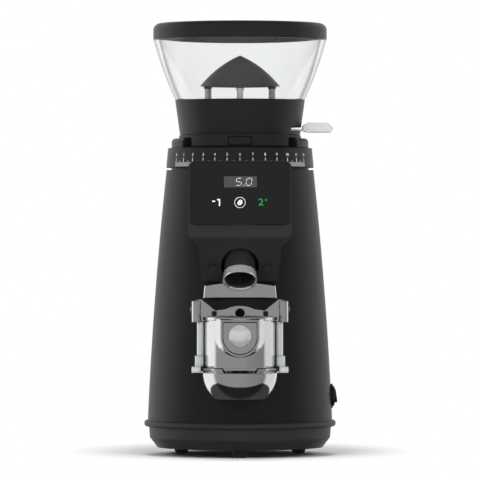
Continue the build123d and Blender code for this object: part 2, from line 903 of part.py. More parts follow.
# Rocker switch housing in the tower's right-hand pad
rocker_pivot = switch_pad + switch_rim - rocker_depth / 2
switch_bore = rocker_radius + running_gap
with BuildPart() as switch_bezel:
    with BuildSketch(Plane.YZ.offset(switch_pad)):
        with Locations((0, switch_height)):
            Circle(switch_radius)
    extrude(amount=switch_rim)
    fillet(switch_bezel.edges().filter_by(GeomType.CIRCLE).sort_by(Axis.X)[-1], switch_rim / 2)
    with BuildSketch(Plane.YZ.offset(switch_pad)):
        with Locations((0, switch_height)):
            Circle(switch_body_radius)
    extrude(amount=-switch_depth)
    with BuildSketch(Plane.YZ.offset(switch_pad + switch_rim)):
        with Locations((0, switch_height)):
            Circle(switch_bore)
    extrude(amount=-2 * rocker_depth, mode=Mode.SUBTRACT)
    with BuildSketch(Plane.XZ):
        with Locations((rocker_pivot, switch_height)):
            Circle(rocker_pin_radius + shaft_gap)
    extrude(amount=switch_bore + rocker_pin_bite + running_gap, both=True, mode=Mode.SUBTRACT)
switch_bezel.part.label = "switch_bezel"
export_step(switch_bezel.part, "parts/switch_bezel.step")

# Rocker, tilted to its off side, with a crowned face and two pivot pins
rocker_plane = Plane(
    origin=(rocker_pivot, 0, switch_height),
    x_dir=(0, 1, 0),
    z_dir=(cos(radians(rocker_tilt)), 0, sin(radians(rocker_tilt))),
)
with BuildPart() as power_rocker:
    with BuildSketch(rocker_plane.offset(-rocker_depth / 2)):
        Circle(rocker_radius - rocker_depth * sin(radians(rocker_tilt)) / 2)
    extrude(amount=rocker_depth / 2)
    with BuildSketch(rocker_plane):
        Circle(rocker_radius - rocker_depth * sin(radians(rocker_tilt)) / 2)
    extrude(amount=rocker_depth / 2 + rocker_rise)
    fillet(power_rocker.edges().filter_by(GeomType.CIRCLE).sort_by(Axis.X)[-1], rocker_rise / 2)
    with BuildSketch(Plane.XZ):
        with Locations((rocker_pivot, switch_height)):
            Circle(rocker_pin_radius)
    extrude(amount=switch_bore + rocker_pin_bite, both=True)
power_rocker.part.label = "power_rocker"
export_step(power_rocker.part, "parts/power_rocker.step")

# Control board on its bosses, with relay, transformer and terminal block
with BuildPart() as control_board:
    with BuildSketch(Plane.XY.offset(tub_floor_top + board_lift)):
        with Locations((0, board_y)):
            Rectangle(board_width, board_depth)
            with GridLocations(
                board_width - 2 * board_screw_inset, board_depth - 2 * board_screw_inset, 2, 2
            ):
                Circle(board_screw_radius + screw_gap, mode=Mode.SUBTRACT)
    extrude(amount=board_thickness)
    with BuildSketch(Plane.XY.offset(tub_floor_top + board_lift + board_thickness)):
        with Locations((0, board_y)):
            with GridLocations(relay_width + relay_gap, board_depth, 2, 1):
                Rectangle(relay_width, board_depth - 4 * board_screw_inset)
    extrude(amount=relay_height)
control_board.part.label = "control_board"
export_step(control_board.part, "parts/control_board.step")

# Start capacitor, standing on the tub's floor
with BuildPart() as start_capacitor:
    with BuildSketch(Plane.XY.offset(tub_floor_top)):
        with Locations((capacitor_x, capacitor_y)):
            Circle(capacitor_radius)
    extrude(amount=capacitor_height)
    fillet(start_capacitor.edges().filter_by(GeomType.CIRCLE).sort_by(Axis.Z)[-1], capacitor_rounding)
start_capacitor.part.label = "start_capacitor"
export_step(start_capacitor.part, "parts/start_capacitor.step")

# Motor stand: a vented plate with the lower bearing's boss on three legs
with BuildPart() as motor_frame:
    with BuildSketch(Plane.XY.offset(can_bottom - frame_plate)):
        Circle(end_plate_radius)
        with PolarLocations((lower_bearing_radius + can_bore) / 2 + 2, 6):
            Circle((can_bore - lower_bearing_radius) / 4, mode=Mode.SUBTRACT)
    extrude(amount=frame_plate)
    with BuildSketch(Plane.XY.offset(boss_bottom)):
        Circle(lower_bearing_radius + body_wall)
    extrude(amount=lower_bearing_width)
    with BuildSketch(Plane.XY.offset(tub_floor_top)):
        with PolarLocations(leg_circle, leg_count, start_angle=front_angle):
            Circle(leg_pad_radius)
    extrude(amount=leg_pad_height)
    with BuildSketch(Plane.XY.offset(tub_floor_top)):
        with PolarLocations(leg_circle, leg_count, start_angle=front_angle):
            Circle(leg_radius)
    extrude(amount=can_bottom - frame_plate - tub_floor_top)
    with BuildSketch(Plane.XY.offset(boss_bottom)):
        Circle(lower_bearing_radius)
    extrude(amount=lower_bearing_width, mode=Mode.SUBTRACT)
    with BuildSketch(Plane.XY.offset(boss_bottom)):
        with PolarLocations(motor_bolt_circle, motor_bolt_count, start_angle=45):
            Circle(motor_bolt_radius + screw_gap)
    extrude(amount=lower_bearing_width, mode=Mode.SUBTRACT)
motor_frame.part.label = "motor_frame"
export_step(motor_frame.part, "parts/motor_frame.step")

# Motor can with cooling windows
with BuildPart() as motor_can:
    revolve(ring_section(can_bore, can_radius, can_bottom, motor_top), axis=Axis.Z)
    with PolarLocations(can_radius, can_window_count):
        with Locations((0, 0, can_bottom + core_lift / 2 - can_window_drop)):
            Box(4 * can_wall, can_window_width, core_lift / 3, mode=Mode.SUBTRACT)
motor_can.part.label = "motor_can"
export_step(motor_can.part, "parts/motor_can.step")

# Motor end plate, which carries the upper bearing and the grinding chamber
with BuildPart() as motor_end_plate:
    with BuildSketch(Plane.XY.offset(motor_top)):
        Circle(end_plate_radius)
    extrude(amount=end_plate_thickness)
    with BuildSketch(Plane.XY.offset(motor_top)):
        Circle(upper_bearing_radius)
    extrude(amount=upper_bearing_width + bearing_step, mode=Mode.SUBTRACT)
    with BuildSketch(Plane.XY.offset(motor_top)):
        Circle(upper_journal_radius + shaft_clear)
    extrude(amount=end_plate_thickness, mode=Mode.SUBTRACT)
    with BuildSketch(Plane.XY.offset(motor_top)):
        with PolarLocations(motor_bolt_circle, motor_bolt_count, start_angle=45):
            Circle(motor_bolt_radius + screw_gap)
    extrude(amount=motor_bolt_grip, mode=Mode.SUBTRACT)
    with BuildSketch(Plane.XY.offset(chamber_bottom)):
        with PolarLocations(lug_circle, lug_count, start_angle=90):
            Circle(motor_bolt_radius + screw_gap)
    extrude(amount=-motor_bolt_grip - blind_end, mode=Mode.SUBTRACT)
    split(bisect_by=Plane.XZ.offset(outlet_face - blind_end), keep=Keep.BOTTOM)
motor_end_plate.part.label = "motor_end_plate"
export_step(motor_end_plate.part, "parts/motor_end_plate.step")

# Long bolts that clamp the can between the stand and the end plate
with BuildPart() as motor_bolts:
    with BuildSketch(Plane.XY.offset(can_bottom - frame_plate - motor_bolt_head_height)):
        with PolarLocations(motor_bolt_circle, motor_bolt_count, start_angle=45):
            RegularPolygon(motor_bolt_head_radius, 6)
    extrude(amount=motor_bolt_head_height)
    with BuildSketch(Plane.XY.offset(can_bottom - frame_plate)):
        with PolarLocations(motor_bolt_circle, motor_bolt_count, start_angle=45):
            Circle(motor_bolt_radius)
    extrude(amount=frame_plate + can_length + motor_bolt_grip - blind_end)
motor_bolts.part.label = "motor_bolts"
export_step(motor_bolts.part, "parts/motor_bolts.step")

# Stator core with winding slots
with BuildPart() as stator_core:
    with BuildSketch(Plane.XY.offset(core_bottom)):
        Circle(core_radius)
        Circle(core_bore, mode=Mode.SUBTRACT)
        with PolarLocations(core_bore, core_slot_count):
            Rectangle(2 * core_slot_depth, core_slot_width, mode=Mode.SUBTRACT)
    extrude(amount=core_length)
stator_core.part.label = "stator_core"
export_step(stator_core.part, "parts/stator_core.step")

# Winding heads on both ends of the core
with BuildPart() as stator_winding:
    for bottom in (core_bottom - winding_height, core_top):
        with BuildSketch(Plane.XY.offset(bottom)):
            Circle(core_radius - winding_inset)
            Circle(core_bore + winding_inset, mode=Mode.SUBTRACT)
        extrude(amount=winding_height)
    outer_ends = stator_winding.edges().filter_by(GeomType.CIRCLE).group_by(Axis.Z)
    fillet(outer_ends[0] + outer_ends[-1], winding_height / 3)
stator_winding.part.label = "stator_winding"
export_step(stator_winding.part, "parts/stator_winding.step")

# Rotor core on the shaft
with BuildPart() as rotor_core:
    revolve(ring_section(shaft_radius + shaft_gap, rotor_radius, core_bottom, core_top), axis=Axis.Z)
rotor_core.part.label = "rotor_core"
export_step(rotor_core.part, "parts/rotor_core.step")

# Motor shaft: lower journal, rotor seat, upper journal and the nose that takes the burr carrier
with BuildPart() as motor_shaft:
    with BuildSketch(Plane.XZ):
        with BuildLine():
            Polyline(
                (0, fan_bottom - fan_gap),
                (lower_journal_radius, fan_bottom - fan_gap),
                (lower_journal_radius, can_bottom + fan_gap),
                (shaft_radius, can_bottom + fan_gap),
                (shaft_radius, motor_top - fan_gap),
                (upper_journal_radius, motor_top - fan_gap),
                (upper_journal_radius, carrier_bottom),
                (nose_radius, carrier_bottom),
                (nose_radius, carrier_top + nut_height),
                (0, carrier_top + nut_height),
                close=True,
            )
        make_face()
    revolve(axis=Axis.Z)
motor_shaft.part.label = "motor_shaft"
export_step(motor_shaft.part, "parts/motor_shaft.step")

# Lower bearing, shielded, in the stand's boss
with BuildPart() as lower_bearing:
    revolve(
        ring_section(
            lower_journal_radius + shaft_gap, lower_bearing_radius - seat_gap, boss_bottom, can_bottom
        ),
        axis=Axis.Z,
    )
    for bottom in (boss_bottom, can_bottom - bearing_recess):
        revolve(
            ring_section(
                lower_journal_radius + bearing_ring,
                lower_bearing_radius - bearing_ring,
                bottom,
                bottom + bearing_recess,
            ),
            axis=Axis.Z,
            mode=Mode.SUBTRACT,
        )
lower_bearing.part.label = "lower_bearing"
export_step(lower_bearing.part, "parts/lower_bearing.step")

# Upper bearing, shielded, in the end plate
upper_bearing_bottom = motor_top + bearing_step
with BuildPart() as upper_bearing:
    revolve(
        ring_section(
            upper_journal_radius + shaft_gap,
            upper_bearing_radius - seat_gap,
            upper_bearing_bottom,
            upper_bearing_bottom + upper_bearing_width,
        ),
        axis=Axis.Z,
    )
    for bottom in (upper_bearing_bottom, upper_bearing_bottom + upper_bearing_width - bearing_recess):
        revolve(
            ring_section(
                upper_journal_radius + bearing_ring,
                upper_bearing_radius - bearing_ring,
                bottom,
                bottom + bearing_recess,
            ),
            axis=Axis.Z,
            mode=Mode.SUBTRACT,
        )
upper_bearing.part.label = "upper_bearing"
export_step(upper_bearing.part, "parts/upper_bearing.step")

# Cooling fan on the shaft's lower end
with BuildPart() as cooling_fan:
    with BuildSketch(Plane.XY.offset(fan_bottom)):
        Circle(fan_hub_radius)
    extrude(amount=fan_height)
    with BuildSketch(Plane.XY.offset(fan_top - fan_backplate)):
        Circle(fan_radius)
    extrude(amount=fan_backplate)
    with BuildSketch(Plane.XY.offset(fan_bottom)):
        with PolarLocations((fan_hub_radius + fan_radius) / 2, fan_blade_count):
            fan_blade_length = (fan_radius - fan_hub_radius) * fan_blade_share
            Rectangle(fan_blade_length, fan_blade_thickness, rotation=fan_blade_twist)
    extrude(amount=fan_height)
    with BuildSketch(Plane.XY.offset(fan_bottom)):
        Circle(lower_journal_radius + shaft_gap)
    extrude(amount=fan_height, mode=Mode.SUBTRACT)
cooling_fan.part.label = "cooling_fan"
export_step(cooling_fan.part, "parts/cooling_fan.step")

# Grinding chamber: burr well, threaded wall, spring trough, guide neck, shoulder, outlet and lugs
with BuildPart() as chamber_housing:
    shaft_hole = upper_journal_radius + shaft_clear
    revolve(ring_section(shaft_hole, chamber_outer, chamber_bottom, deck_top), axis=Axis.Z)
    revolve(ring_section(chamber_radius, neck_radius, deck_bottom, deck_top), axis=Axis.Z)
    revolve(ring_section(chamber_radius, thread_radius, deck_top, neck_top - neck_wall), axis=Axis.Z)
    revolve(ring_section(neck_bore, neck_radius, deck_top, neck_top), axis=Axis.Z)
    revolve(
        ring_section(neck_bore, shoulder_radius, shoulder_top - shoulder_thickness, shoulder_top),
        axis=Axis.Z,
    )
    with BuildSketch(Plane.XZ.offset(chamber_radius)):
        with Locations((0, outlet_middle)):
            Rectangle(2 * (outlet_half_width + outlet_wall), outlet_height + 2 * outlet_wall)
    extrude(amount=outlet_face - chamber_radius)
    with BuildSketch(Plane.XY.offset(chamber_bottom)):
        with PolarLocations(lug_circle, lug_count, start_angle=90):
            Circle(lug_radius)
    extrude(amount=lug_height)
    revolve(
        ring_section(0, chamber_radius, chamber_floor_top, neck_top), axis=Axis.Z, mode=Mode.SUBTRACT
    )
    with BuildSketch(Plane.XY.offset(chamber_bottom)):
        with PolarLocations(lug_circle, lug_count, start_angle=90):
            Circle(motor_bolt_radius + screw_gap)
    extrude(amount=lug_height, mode=Mode.SUBTRACT)
    with BuildSketch(Plane.XZ):
        with Locations((0, outlet_middle)):
            Rectangle(2 * outlet_half_width, outlet_height)
    extrude(amount=outlet_face, mode=Mode.SUBTRACT)
chamber_housing.part.label = "chamber_housing"
export_step(chamber_housing.part, "parts/chamber_housing.step")

# Chamber bolts, through the lugs into the end plate
with BuildPart() as chamber_bolts:
    with BuildSketch(Plane.XY.offset(chamber_bottom + lug_height)):
        with PolarLocations(lug_circle, lug_count, start_angle=90):
            RegularPolygon(motor_bolt_head_radius, 6)
    extrude(amount=motor_bolt_head_height)
    with BuildSketch(Plane.XY.offset(chamber_bottom + lug_height)):
        with PolarLocations(lug_circle, lug_count, start_angle=90):
            Circle(motor_bolt_radius)
    extrude(amount=-lug_height - motor_bolt_grip)
chamber_bolts.part.label = "chamber_bolts"
export_step(chamber_bolts.part, "parts/chamber_bolts.step")

# Lower burr carrier with three sweepers that push the grounds to the outlet
with BuildPart() as lower_burr_carrier:
    with BuildSketch(Plane.XY.offset(carrier_bottom)):
        Circle(burr_radius + carrier_lip)
        with PolarLocations((burr_radius + chamber_radius - sweeper_gap) / 2, sweeper_count):
            Rectangle(chamber_radius - sweeper_gap - burr_radius, sweeper_width)
    extrude(amount=carrier_thickness)
    with BuildSketch(Plane.XY.offset(carrier_bottom)):
        Circle(nose_radius + shaft_gap)
    extrude(amount=carrier_thickness, mode=Mode.SUBTRACT)
    with BuildSketch(Plane.XY.offset(carrier_top)):
        with PolarLocations(burr_screw_circle, burr_screw_count):
            Circle(burr_screw_radius + screw_gap)
    extrude(amount=-burr_screw_grip - blind_end, mode=Mode.SUBTRACT)
lower_burr_carrier.part.label = "lower_burr_carrier"
export_step(lower_burr_carrier.part, "parts/lower_burr_carrier.step")

# Lower burr, teeth up
lower_burr_form = burr_form(carrier_top, lower_burr_top)
with BuildPart() as lower_burr:
    add(lower_burr_form)
lower_burr.part.label = "lower_burr"
export_step(lower_burr.part, "parts/lower_burr.step")

# Screws of the lower burr, sunk below its teeth
with BuildPart() as lower_burr_screws:
    with BuildSketch(Plane.XY.offset(lower_burr_top - burr_screw_sink)):
        with PolarLocations(burr_screw_circle, burr_screw_count):
            Circle(burr_screw_head_radius)
    extrude(amount=burr_screw_head_height)
    with BuildSketch(Plane.XY.offset(lower_burr_top - burr_screw_sink)):
        with PolarLocations(burr_screw_circle, burr_screw_count):
            Circle(burr_screw_radius)
    extrude(amount=burr_screw_sink - burr_thickness - burr_screw_grip)
lower_burr_screws.part.label = "lower_burr_screws"
export_step(lower_burr_screws.part, "parts/lower_burr_screws.step")

# Nut that holds the carrier on the shaft's nose
with BuildPart() as burr_nut:
    with BuildSketch(Plane.XY.offset(carrier_top)):
        RegularPolygon(nut_radius, 6)
        Circle(nose_radius + shaft_gap, mode=Mode.SUBTRACT)
    extrude(amount=nut_height)
burr_nut.part.label = "burr_nut"
export_step(burr_nut.part, "parts/burr_nut.step")

# Upper burr carrier, which rides in the chamber's thread, with a funnel throat and pin sockets
with BuildPart() as upper_burr_carrier:
    with BuildSketch(Plane.XZ):
        with BuildLine():
            Polyline(
                (burr_bore, upper_burr_top),
                (upper_carrier_radius, upper_burr_top),
                (upper_carrier_radius, upper_carrier_top),
                (spigot_radius, upper_carrier_top),
                (spigot_bore, upper_carrier_top - spigot_wall),
                close=True,
            )
        make_face()
    revolve(axis=Axis.Z)
    with BuildSketch(Plane.XY.offset(upper_burr_top)):
        with PolarLocations(burr_screw_circle, burr_screw_count):
            Circle(burr_screw_radius + screw_gap)
    extrude(amount=burr_screw_grip + blind_end, mode=Mode.SUBTRACT)
    with BuildSketch(Plane.XY.offset(upper_carrier_top)):
        with PolarLocations(drive_pin_circle, drive_pin_count, start_angle=60):
            Circle(drive_pin_radius + seat_gap)
    extrude(amount=-drive_pin_grip, mode=Mode.SUBTRACT)
upper_burr_carrier.part.label = "upper_burr_carrier"
export_step(upper_burr_carrier.part, "parts/upper_burr_carrier.step")

# Upper burr, teeth down
upper_burr_form = burr_form(upper_burr_top, upper_burr_bottom)
with BuildPart() as upper_burr:
    add(upper_burr_form)
upper_burr.part.label = "upper_burr"
export_step(upper_burr.part, "parts/upper_burr.step")

# Screws of the upper burr
with BuildPart() as upper_burr_screws:
    with BuildSketch(Plane.XY.offset(upper_burr_bottom + burr_screw_sink)):
        with PolarLocations(burr_screw_circle, burr_screw_count):
            Circle(burr_screw_head_radius)
    extrude(amount=-burr_screw_head_height)
    with BuildSketch(Plane.XY.offset(upper_burr_bottom + burr_screw_sink)):
        with PolarLocations(burr_screw_circle, burr_screw_count):
            Circle(burr_screw_radius)
    extrude(amount=burr_thickness + burr_screw_grip - burr_screw_sink)
upper_burr_screws.part.label = "upper_burr_screws"
export_step(upper_burr_screws.part, "parts/upper_burr_screws.step")

# Drive pins that key the carrier to the dial
with BuildPart() as drive_pins:
    with BuildSketch(Plane.XY.offset(upper_carrier_top - drive_pin_grip)):
        with PolarLocations(drive_pin_circle, drive_pin_count, start_angle=60):
            Circle(drive_pin_radius)
    extrude(amount=dial_top - blind_end - upper_carrier_top + drive_pin_grip)
drive_pins.part.label = "drive_pins"
export_step(drive_pins.part, "parts/drive_pins.step")

# Dial ring: a drafted skirt over the chamber neck with a web across the top
with BuildPart() as dial_ring:
    with BuildSketch(Plane.XZ):
        with BuildLine():
            Polyline(
                (dial_bore, dial_bottom),
                (dial_bottom_radius, dial_bottom),
                (dial_top_radius, dial_top),
                (spigot_radius + 5 * running_gap, dial_top),
                (spigot_radius + 5 * running_gap, web_bottom),
                (dial_bore, web_bottom),
                close=True,
            )
        make_face()
    revolve(axis=Axis.Z)
    outer_rims = dial_ring.edges().filter_by(GeomType.CIRCLE).group_by(SortBy.RADIUS)
    chamfer(outer_rims[-1] + outer_rims[-2], dial_edge)
    with BuildSketch(Plane.XY.offset(web_bottom)):
        with PolarLocations(drive_pin_circle, drive_pin_count, start_angle=60):
            Circle(drive_pin_radius + running_gap)
        with PolarLocations(seat_screw_circle, seat_screw_count, 0, 180, endpoint=True):
            Circle(seat_screw_radius + screw_gap)
    extrude(amount=web_thickness, mode=Mode.SUBTRACT)
dial_ring.part.label = "dial_ring"
export_step(dial_ring.part, "parts/dial_ring.step")

# Hopper seat: a rounded ring on the dial, open at the front for the hopper's latch
with BuildPart() as hopper_seat:
    revolve(ring_section(seat_bore, seat_radius, dial_top, seat_top), axis=Axis.Z)
    rim = hopper_seat.edges().filter_by(GeomType.CIRCLE).group_by(SortBy.RADIUS)[-1]
    fillet(rim.sort_by(Axis.Z)[-1], seat_rounding)
    with BuildSketch(Plane.XY.offset(dial_top)):
        with BuildLine():
            reach = 2 * seat_radius
            Polyline(
                (0, 0),
                (-reach * sin(radians(seat_window_angle)), front * reach * cos(radians(seat_window_angle))),
                (0, front * reach / cos(radians(seat_window_angle))),
                (reach * sin(radians(seat_window_angle)), front * reach * cos(radians(seat_window_angle))),
                close=True,
            )
        make_face()
    extrude(amount=seat_height, mode=Mode.SUBTRACT)
    with BuildSketch(Plane.XY.offset(dial_top)):
        with PolarLocations(seat_screw_circle, seat_screw_count, 0, 180, endpoint=True):
            Circle(seat_screw_radius + screw_gap)
    extrude(amount=seat_height / 2 + 1, mode=Mode.SUBTRACT)
hopper_seat.part.label = "hopper_seat"
export_step(hopper_seat.part, "parts/hopper_seat.step")

# Seat screws, up through the dial's web
with BuildPart() as seat_screws:
    with BuildSketch(Plane.XY.offset(web_bottom)):
        with PolarLocations(seat_screw_circle, seat_screw_count, 0, 180, endpoint=True):
            Circle(seat_screw_head_radius)
    extrude(amount=-seat_screw_radius)
    with BuildSketch(Plane.XY.offset(web_bottom)):
        with PolarLocations(seat_screw_circle, seat_screw_count, 0, 180, endpoint=True):
            Circle(seat_screw_radius)
    extrude(amount=web_thickness + seat_height / 2)
seat_screws.part.label = "seat_screws"
export_step(seat_screws.part, "parts/seat_screws.step")

# Hopper collar: funnel, throat and spigot, gate slot, post bosses and the latch band
groove_bottom = collar_bottom + collar_lip_height
groove_top = groove_bottom + collar_groove
latch_middle = (band_bottom + groove_top) / 2 - collar_groove
latch_window_height = latch_height + 2 * latch_side_gap
with BuildPart() as hopper_collar:
    with BuildSketch(Plane.XZ):
        with BuildLine():
            Polyline(
                (spigot_bore, spigot_bottom),
                (spigot_radius, spigot_bottom),
                (spigot_radius, collar_bottom),
                (collar_bottom_radius + collar_lip, collar_bottom),
                (collar_bottom_radius + collar_lip, groove_bottom),
                (collar_bottom_radius - collar_groove, groove_bottom),
                (collar_bottom_radius - collar_groove, groove_top),
                (collar_bottom_radius, groove_top),
                (collar_top_radius, collar_top),
                (collar_top_radius - collar_rim_wall, collar_top),
                (collar_top_radius - collar_rim_wall, rim_floor),
                (funnel_radius, rim_floor),
                (throat_radius, throat_top),
                (throat_radius, gate_floor),
                (spigot_bore, gate_floor),
                close=True,
            )
        make_face()
    revolve(axis=Axis.Z)
    with BuildSketch(Plane.XY.offset(throat_top)):
        with PolarLocations(post_circle, post_count, start_angle=post_angle):
            Circle(post_boss_radius)
    extrude(amount=post_foot - throat_top)
    with BuildSketch(Plane.XY.offset(band_bottom)):
        with BuildLine():
            left = (180 - 2 * band_angle) / 2 + 180
            band_outer = CenterArc((0, 0), band_radius, left, 2 * band_angle)
            band_inner = CenterArc((0, 0), band_radius - band_depth, left, 2 * band_angle)
            Line(band_outer @ 0, band_inner @ 0)
            Line(band_outer @ 1, band_inner @ 1)
        make_face()
    extrude(amount=groove_top - band_bottom)
    revolve(
        ring_section(spigot_radius + pocket_wall, collar_bottom_radius - pocket_wall, collar_bottom,
                     collar_bottom + pocket_depth),
        axis=Axis.Z,
        mode=Mode.SUBTRACT,
    )
    with BuildSketch(Plane.XY.offset(gate_floor)):
        slot_back = -throat_radius - gate_cover - 2 * running_gap
        with Locations(((slot_back + 2 * collar_top_radius) / 2, 0)):
            Rectangle(2 * collar_top_radius - slot_back, 2 * (gate_half_width + running_gap))
    extrude(amount=gate_slot_height, mode=Mode.SUBTRACT)
    with BuildSketch(Plane.XZ.offset(latch_back - latch_travel - running_gap)):
        with Locations((0, latch_middle)):
            Rectangle(2 * (latch_half_width + latch_side_gap), latch_window_height)
    extrude(amount=2 * band_depth + band_radius - latch_back, mode=Mode.SUBTRACT)
hopper_collar.part.label = "hopper_collar"
export_step(hopper_collar.part, "parts/hopper_collar.step")

# Hopper bowl: a clear, slightly convex cone with a stepped rim for the lid
stub_radius = collar_top_radius - collar_rim_wall - seat_gap
with BuildPart() as hopper_bowl:
    with BuildSketch(Plane.XZ):
        with BuildLine():
            bowl_middle = (collar_top + bowl_top) / 2
            outside = ThreePointArc(
                (collar_top_radius - seat_gap, collar_top),
                ((collar_top_radius + bowl_top_radius) / 2 + bowl_bulge, bowl_middle),
                (bowl_top_radius, bowl_top),
            )
            lid_rim_bore = lid_rim_radius - bowl_wall
            inside = ThreePointArc(
                (lid_rim_bore, bowl_top),
                ((lid_rim_bore + stub_radius - bowl_wall) / 2 + bowl_bulge, bowl_middle),
                (stub_radius - bowl_wall, collar_top),
            )
            Polyline(
                outside @ 1,
                (lid_rim_radius, bowl_top),
                (lid_rim_radius, bowl_top + lid_rim_height),
                (lid_rim_bore, bowl_top + lid_rim_height),
                inside @ 0,
            )
            Polyline(
                inside @ 1,
                (stub_radius - bowl_wall, rim_floor),
                (stub_radius, rim_floor),
                (stub_radius, collar_top),
                outside @ 0,
            )
        make_face()
    revolve(axis=Axis.Z)
hopper_bowl.part.label = "hopper_bowl"
export_step(hopper_bowl.part, "parts/hopper_bowl.step")

# Bean guard: a convex cone that carries the weight of the beans, with four post sockets
between_posts = radians(post_angle + 180 / post_count)
guard_section = Plane(
    origin=(0, 0, 0),
    x_dir=(cos(between_posts), sin(between_posts), 0),
    z_dir=(sin(between_posts), -cos(between_posts), 0),
)
with BuildPart() as bean_guard:
    with BuildSketch(guard_section):
        with BuildLine():
            over = ThreePointArc(
                (guard_radius, guard_bottom),
                (guard_radius * guard_waist, guard_bottom + guard_height / 2),
                (0, guard_top),
            )
            under = ThreePointArc(
                (0, guard_top - guard_wall),
                (guard_radius * guard_waist - guard_wall, guard_bottom + guard_height / 2 - guard_wall / 2),
                (guard_radius - guard_wall, guard_bottom),
            )
            Line(over @ 1, under @ 0)
            Line(under @ 1, over @ 0)
        make_face()
    revolve(axis=Axis.Z)
    with BuildSketch(Plane.XY.offset(guard_bottom - guard_boss_drop)):
        with PolarLocations(post_circle, post_count, start_angle=post_angle):
            Circle(post_radius + guard_boss_wall)
    extrude(amount=guard_boss_drop + guard_boss_rise)
    with BuildSketch(Plane.XY.offset(guard_bottom - guard_boss_drop)):
        with PolarLocations(post_circle, post_count, start_angle=post_angle):
            Circle(post_radius + seat_gap)
    extrude(amount=guard_boss_drop + guard_boss_rise - guard_wall, mode=Mode.SUBTRACT)
bean_guard.part.label = "bean_guard"
export_step(bean_guard.part, "parts/bean_guard.step")

# Posts between the collar's bosses and the guard
with BuildPart() as guard_posts:
    with BuildSketch(Plane.XY.offset(post_foot)):
        with PolarLocations(post_circle, post_count, start_angle=post_angle):
            Circle(post_radius)
    extrude(amount=guard_bottom + guard_boss_rise - guard_wall - post_foot)
guard_posts.part.label = "guard_posts"
export_step(guard_posts.part, "parts/guard_posts.step")

# Hopper gate: a sliding plate under the funnel with a pull handle on the right
gate_back = -throat_radius - gate_cover
handle_start = collar_bottom_radius + handle_gap
handle_end = handle_start + handle_length
with BuildPart() as hopper_gate:
    with BuildSketch(Plane.XZ):
        with BuildLine():
            Polyline(
                (handle_start, gate_bottom),
                (handle_start + handle_slope, gate_bottom - handle_drop),
                (handle_end - handle_edge, gate_bottom - handle_drop),
                (handle_end, gate_bottom + handle_edge),
                (handle_end - handle_slope, gate_bottom + handle_rise),
                (handle_start + handle_slope, gate_bottom + handle_rise),
                (handle_start, gate_bottom + handle_shoulder),
                close=True,
            )
        make_face()
    extrude(amount=handle_half_width, both=True)
    fillet(hopper_gate.edges().filter_by(Axis.Y), handle_rounding)
    fillet(hopper_gate.edges().filter_by(Axis.Z).group_by(Axis.X)[0], handle_rounding)
    with BuildSketch(Plane.XZ):
        with Locations((handle_start + handle_slope, gate_bottom)):
            Circle(handle_hole_radius)
    extrude(amount=2 * handle_half_width, both=True, mode=Mode.SUBTRACT)
    with BuildSketch(Plane.XY.offset(gate_bottom)):
        with Locations(((gate_back + collar_bottom_radius) / 2, 0)):
            Rectangle(collar_bottom_radius - gate_back, 2 * gate_half_width)
        Circle(collar_bottom_radius - collar_rim_wall, mode=Mode.INTERSECT)
        with Locations(((handle_start + handle_edge) / 2, 0)):
            Rectangle(handle_start + handle_edge, 2 * (handle_half_width - handle_edge))
    extrude(amount=gate_thickness)
hopper_gate.part.label = "hopper_gate"
export_step(hopper_gate.part, "parts/hopper_gate.step")

# Hopper latch: a push button in the band, kept in by a flange behind it
with BuildPart() as hopper_latch:
    with BuildSketch(Plane.XZ.offset(latch_back)):
        with Locations((0, latch_middle)):
            Rectangle(2 * latch_half_width, latch_height)
    extrude(amount=band_radius + latch_proud - latch_back)
    fillet(hopper_latch.edges().group_by(Axis.Y)[0], latch_proud / 2)
    flange_top = collar_bottom - running_gap
    flange_bottom = dial_top + running_gap
    with BuildSketch(Plane.XZ.offset(latch_back)):
        with Locations((0, (flange_top + flange_bottom) / 2)):
            Rectangle(2 * (latch_half_width + latch_flange), flange_top - flange_bottom)
    extrude(amount=-latch_flange)
hopper_latch.part.label = "hopper_latch"
export_step(hopper_latch.part, "parts/hopper_latch.step")

# Hopper lid: a cap over the bowl's rim
with BuildPart() as hopper_lid:
    revolve(ring_section(0, bowl_top_radius, bowl_top, lid_top), axis=Axis.Z)
    fillet(hopper_lid.edges().filter_by(GeomType.CIRCLE).sort_by(Axis.Z)[-1], lid_corner)
    lid_corner_inside = lid_corner - lid_wall
    with BuildSketch(Plane.XZ):
        with BuildLine():
            under_top = lid_top - lid_wall
            Polyline((lid_bore, under_top - lid_corner_inside), (lid_bore, bowl_top), (0, bowl_top),
                     (0, under_top), (lid_bore - lid_corner_inside, under_top))
            arc_start = (lid_bore - lid_corner_inside, under_top)
            arc_end = (lid_bore, under_top - lid_corner_inside)
            RadiusArc(arc_start, arc_end, lid_corner_inside)
        make_face()
    revolve(axis=Axis.Z, mode=Mode.SUBTRACT)
hopper_lid.part.label = "hopper_lid"
export_step(hopper_lid.part, "parts/hopper_lid.step")

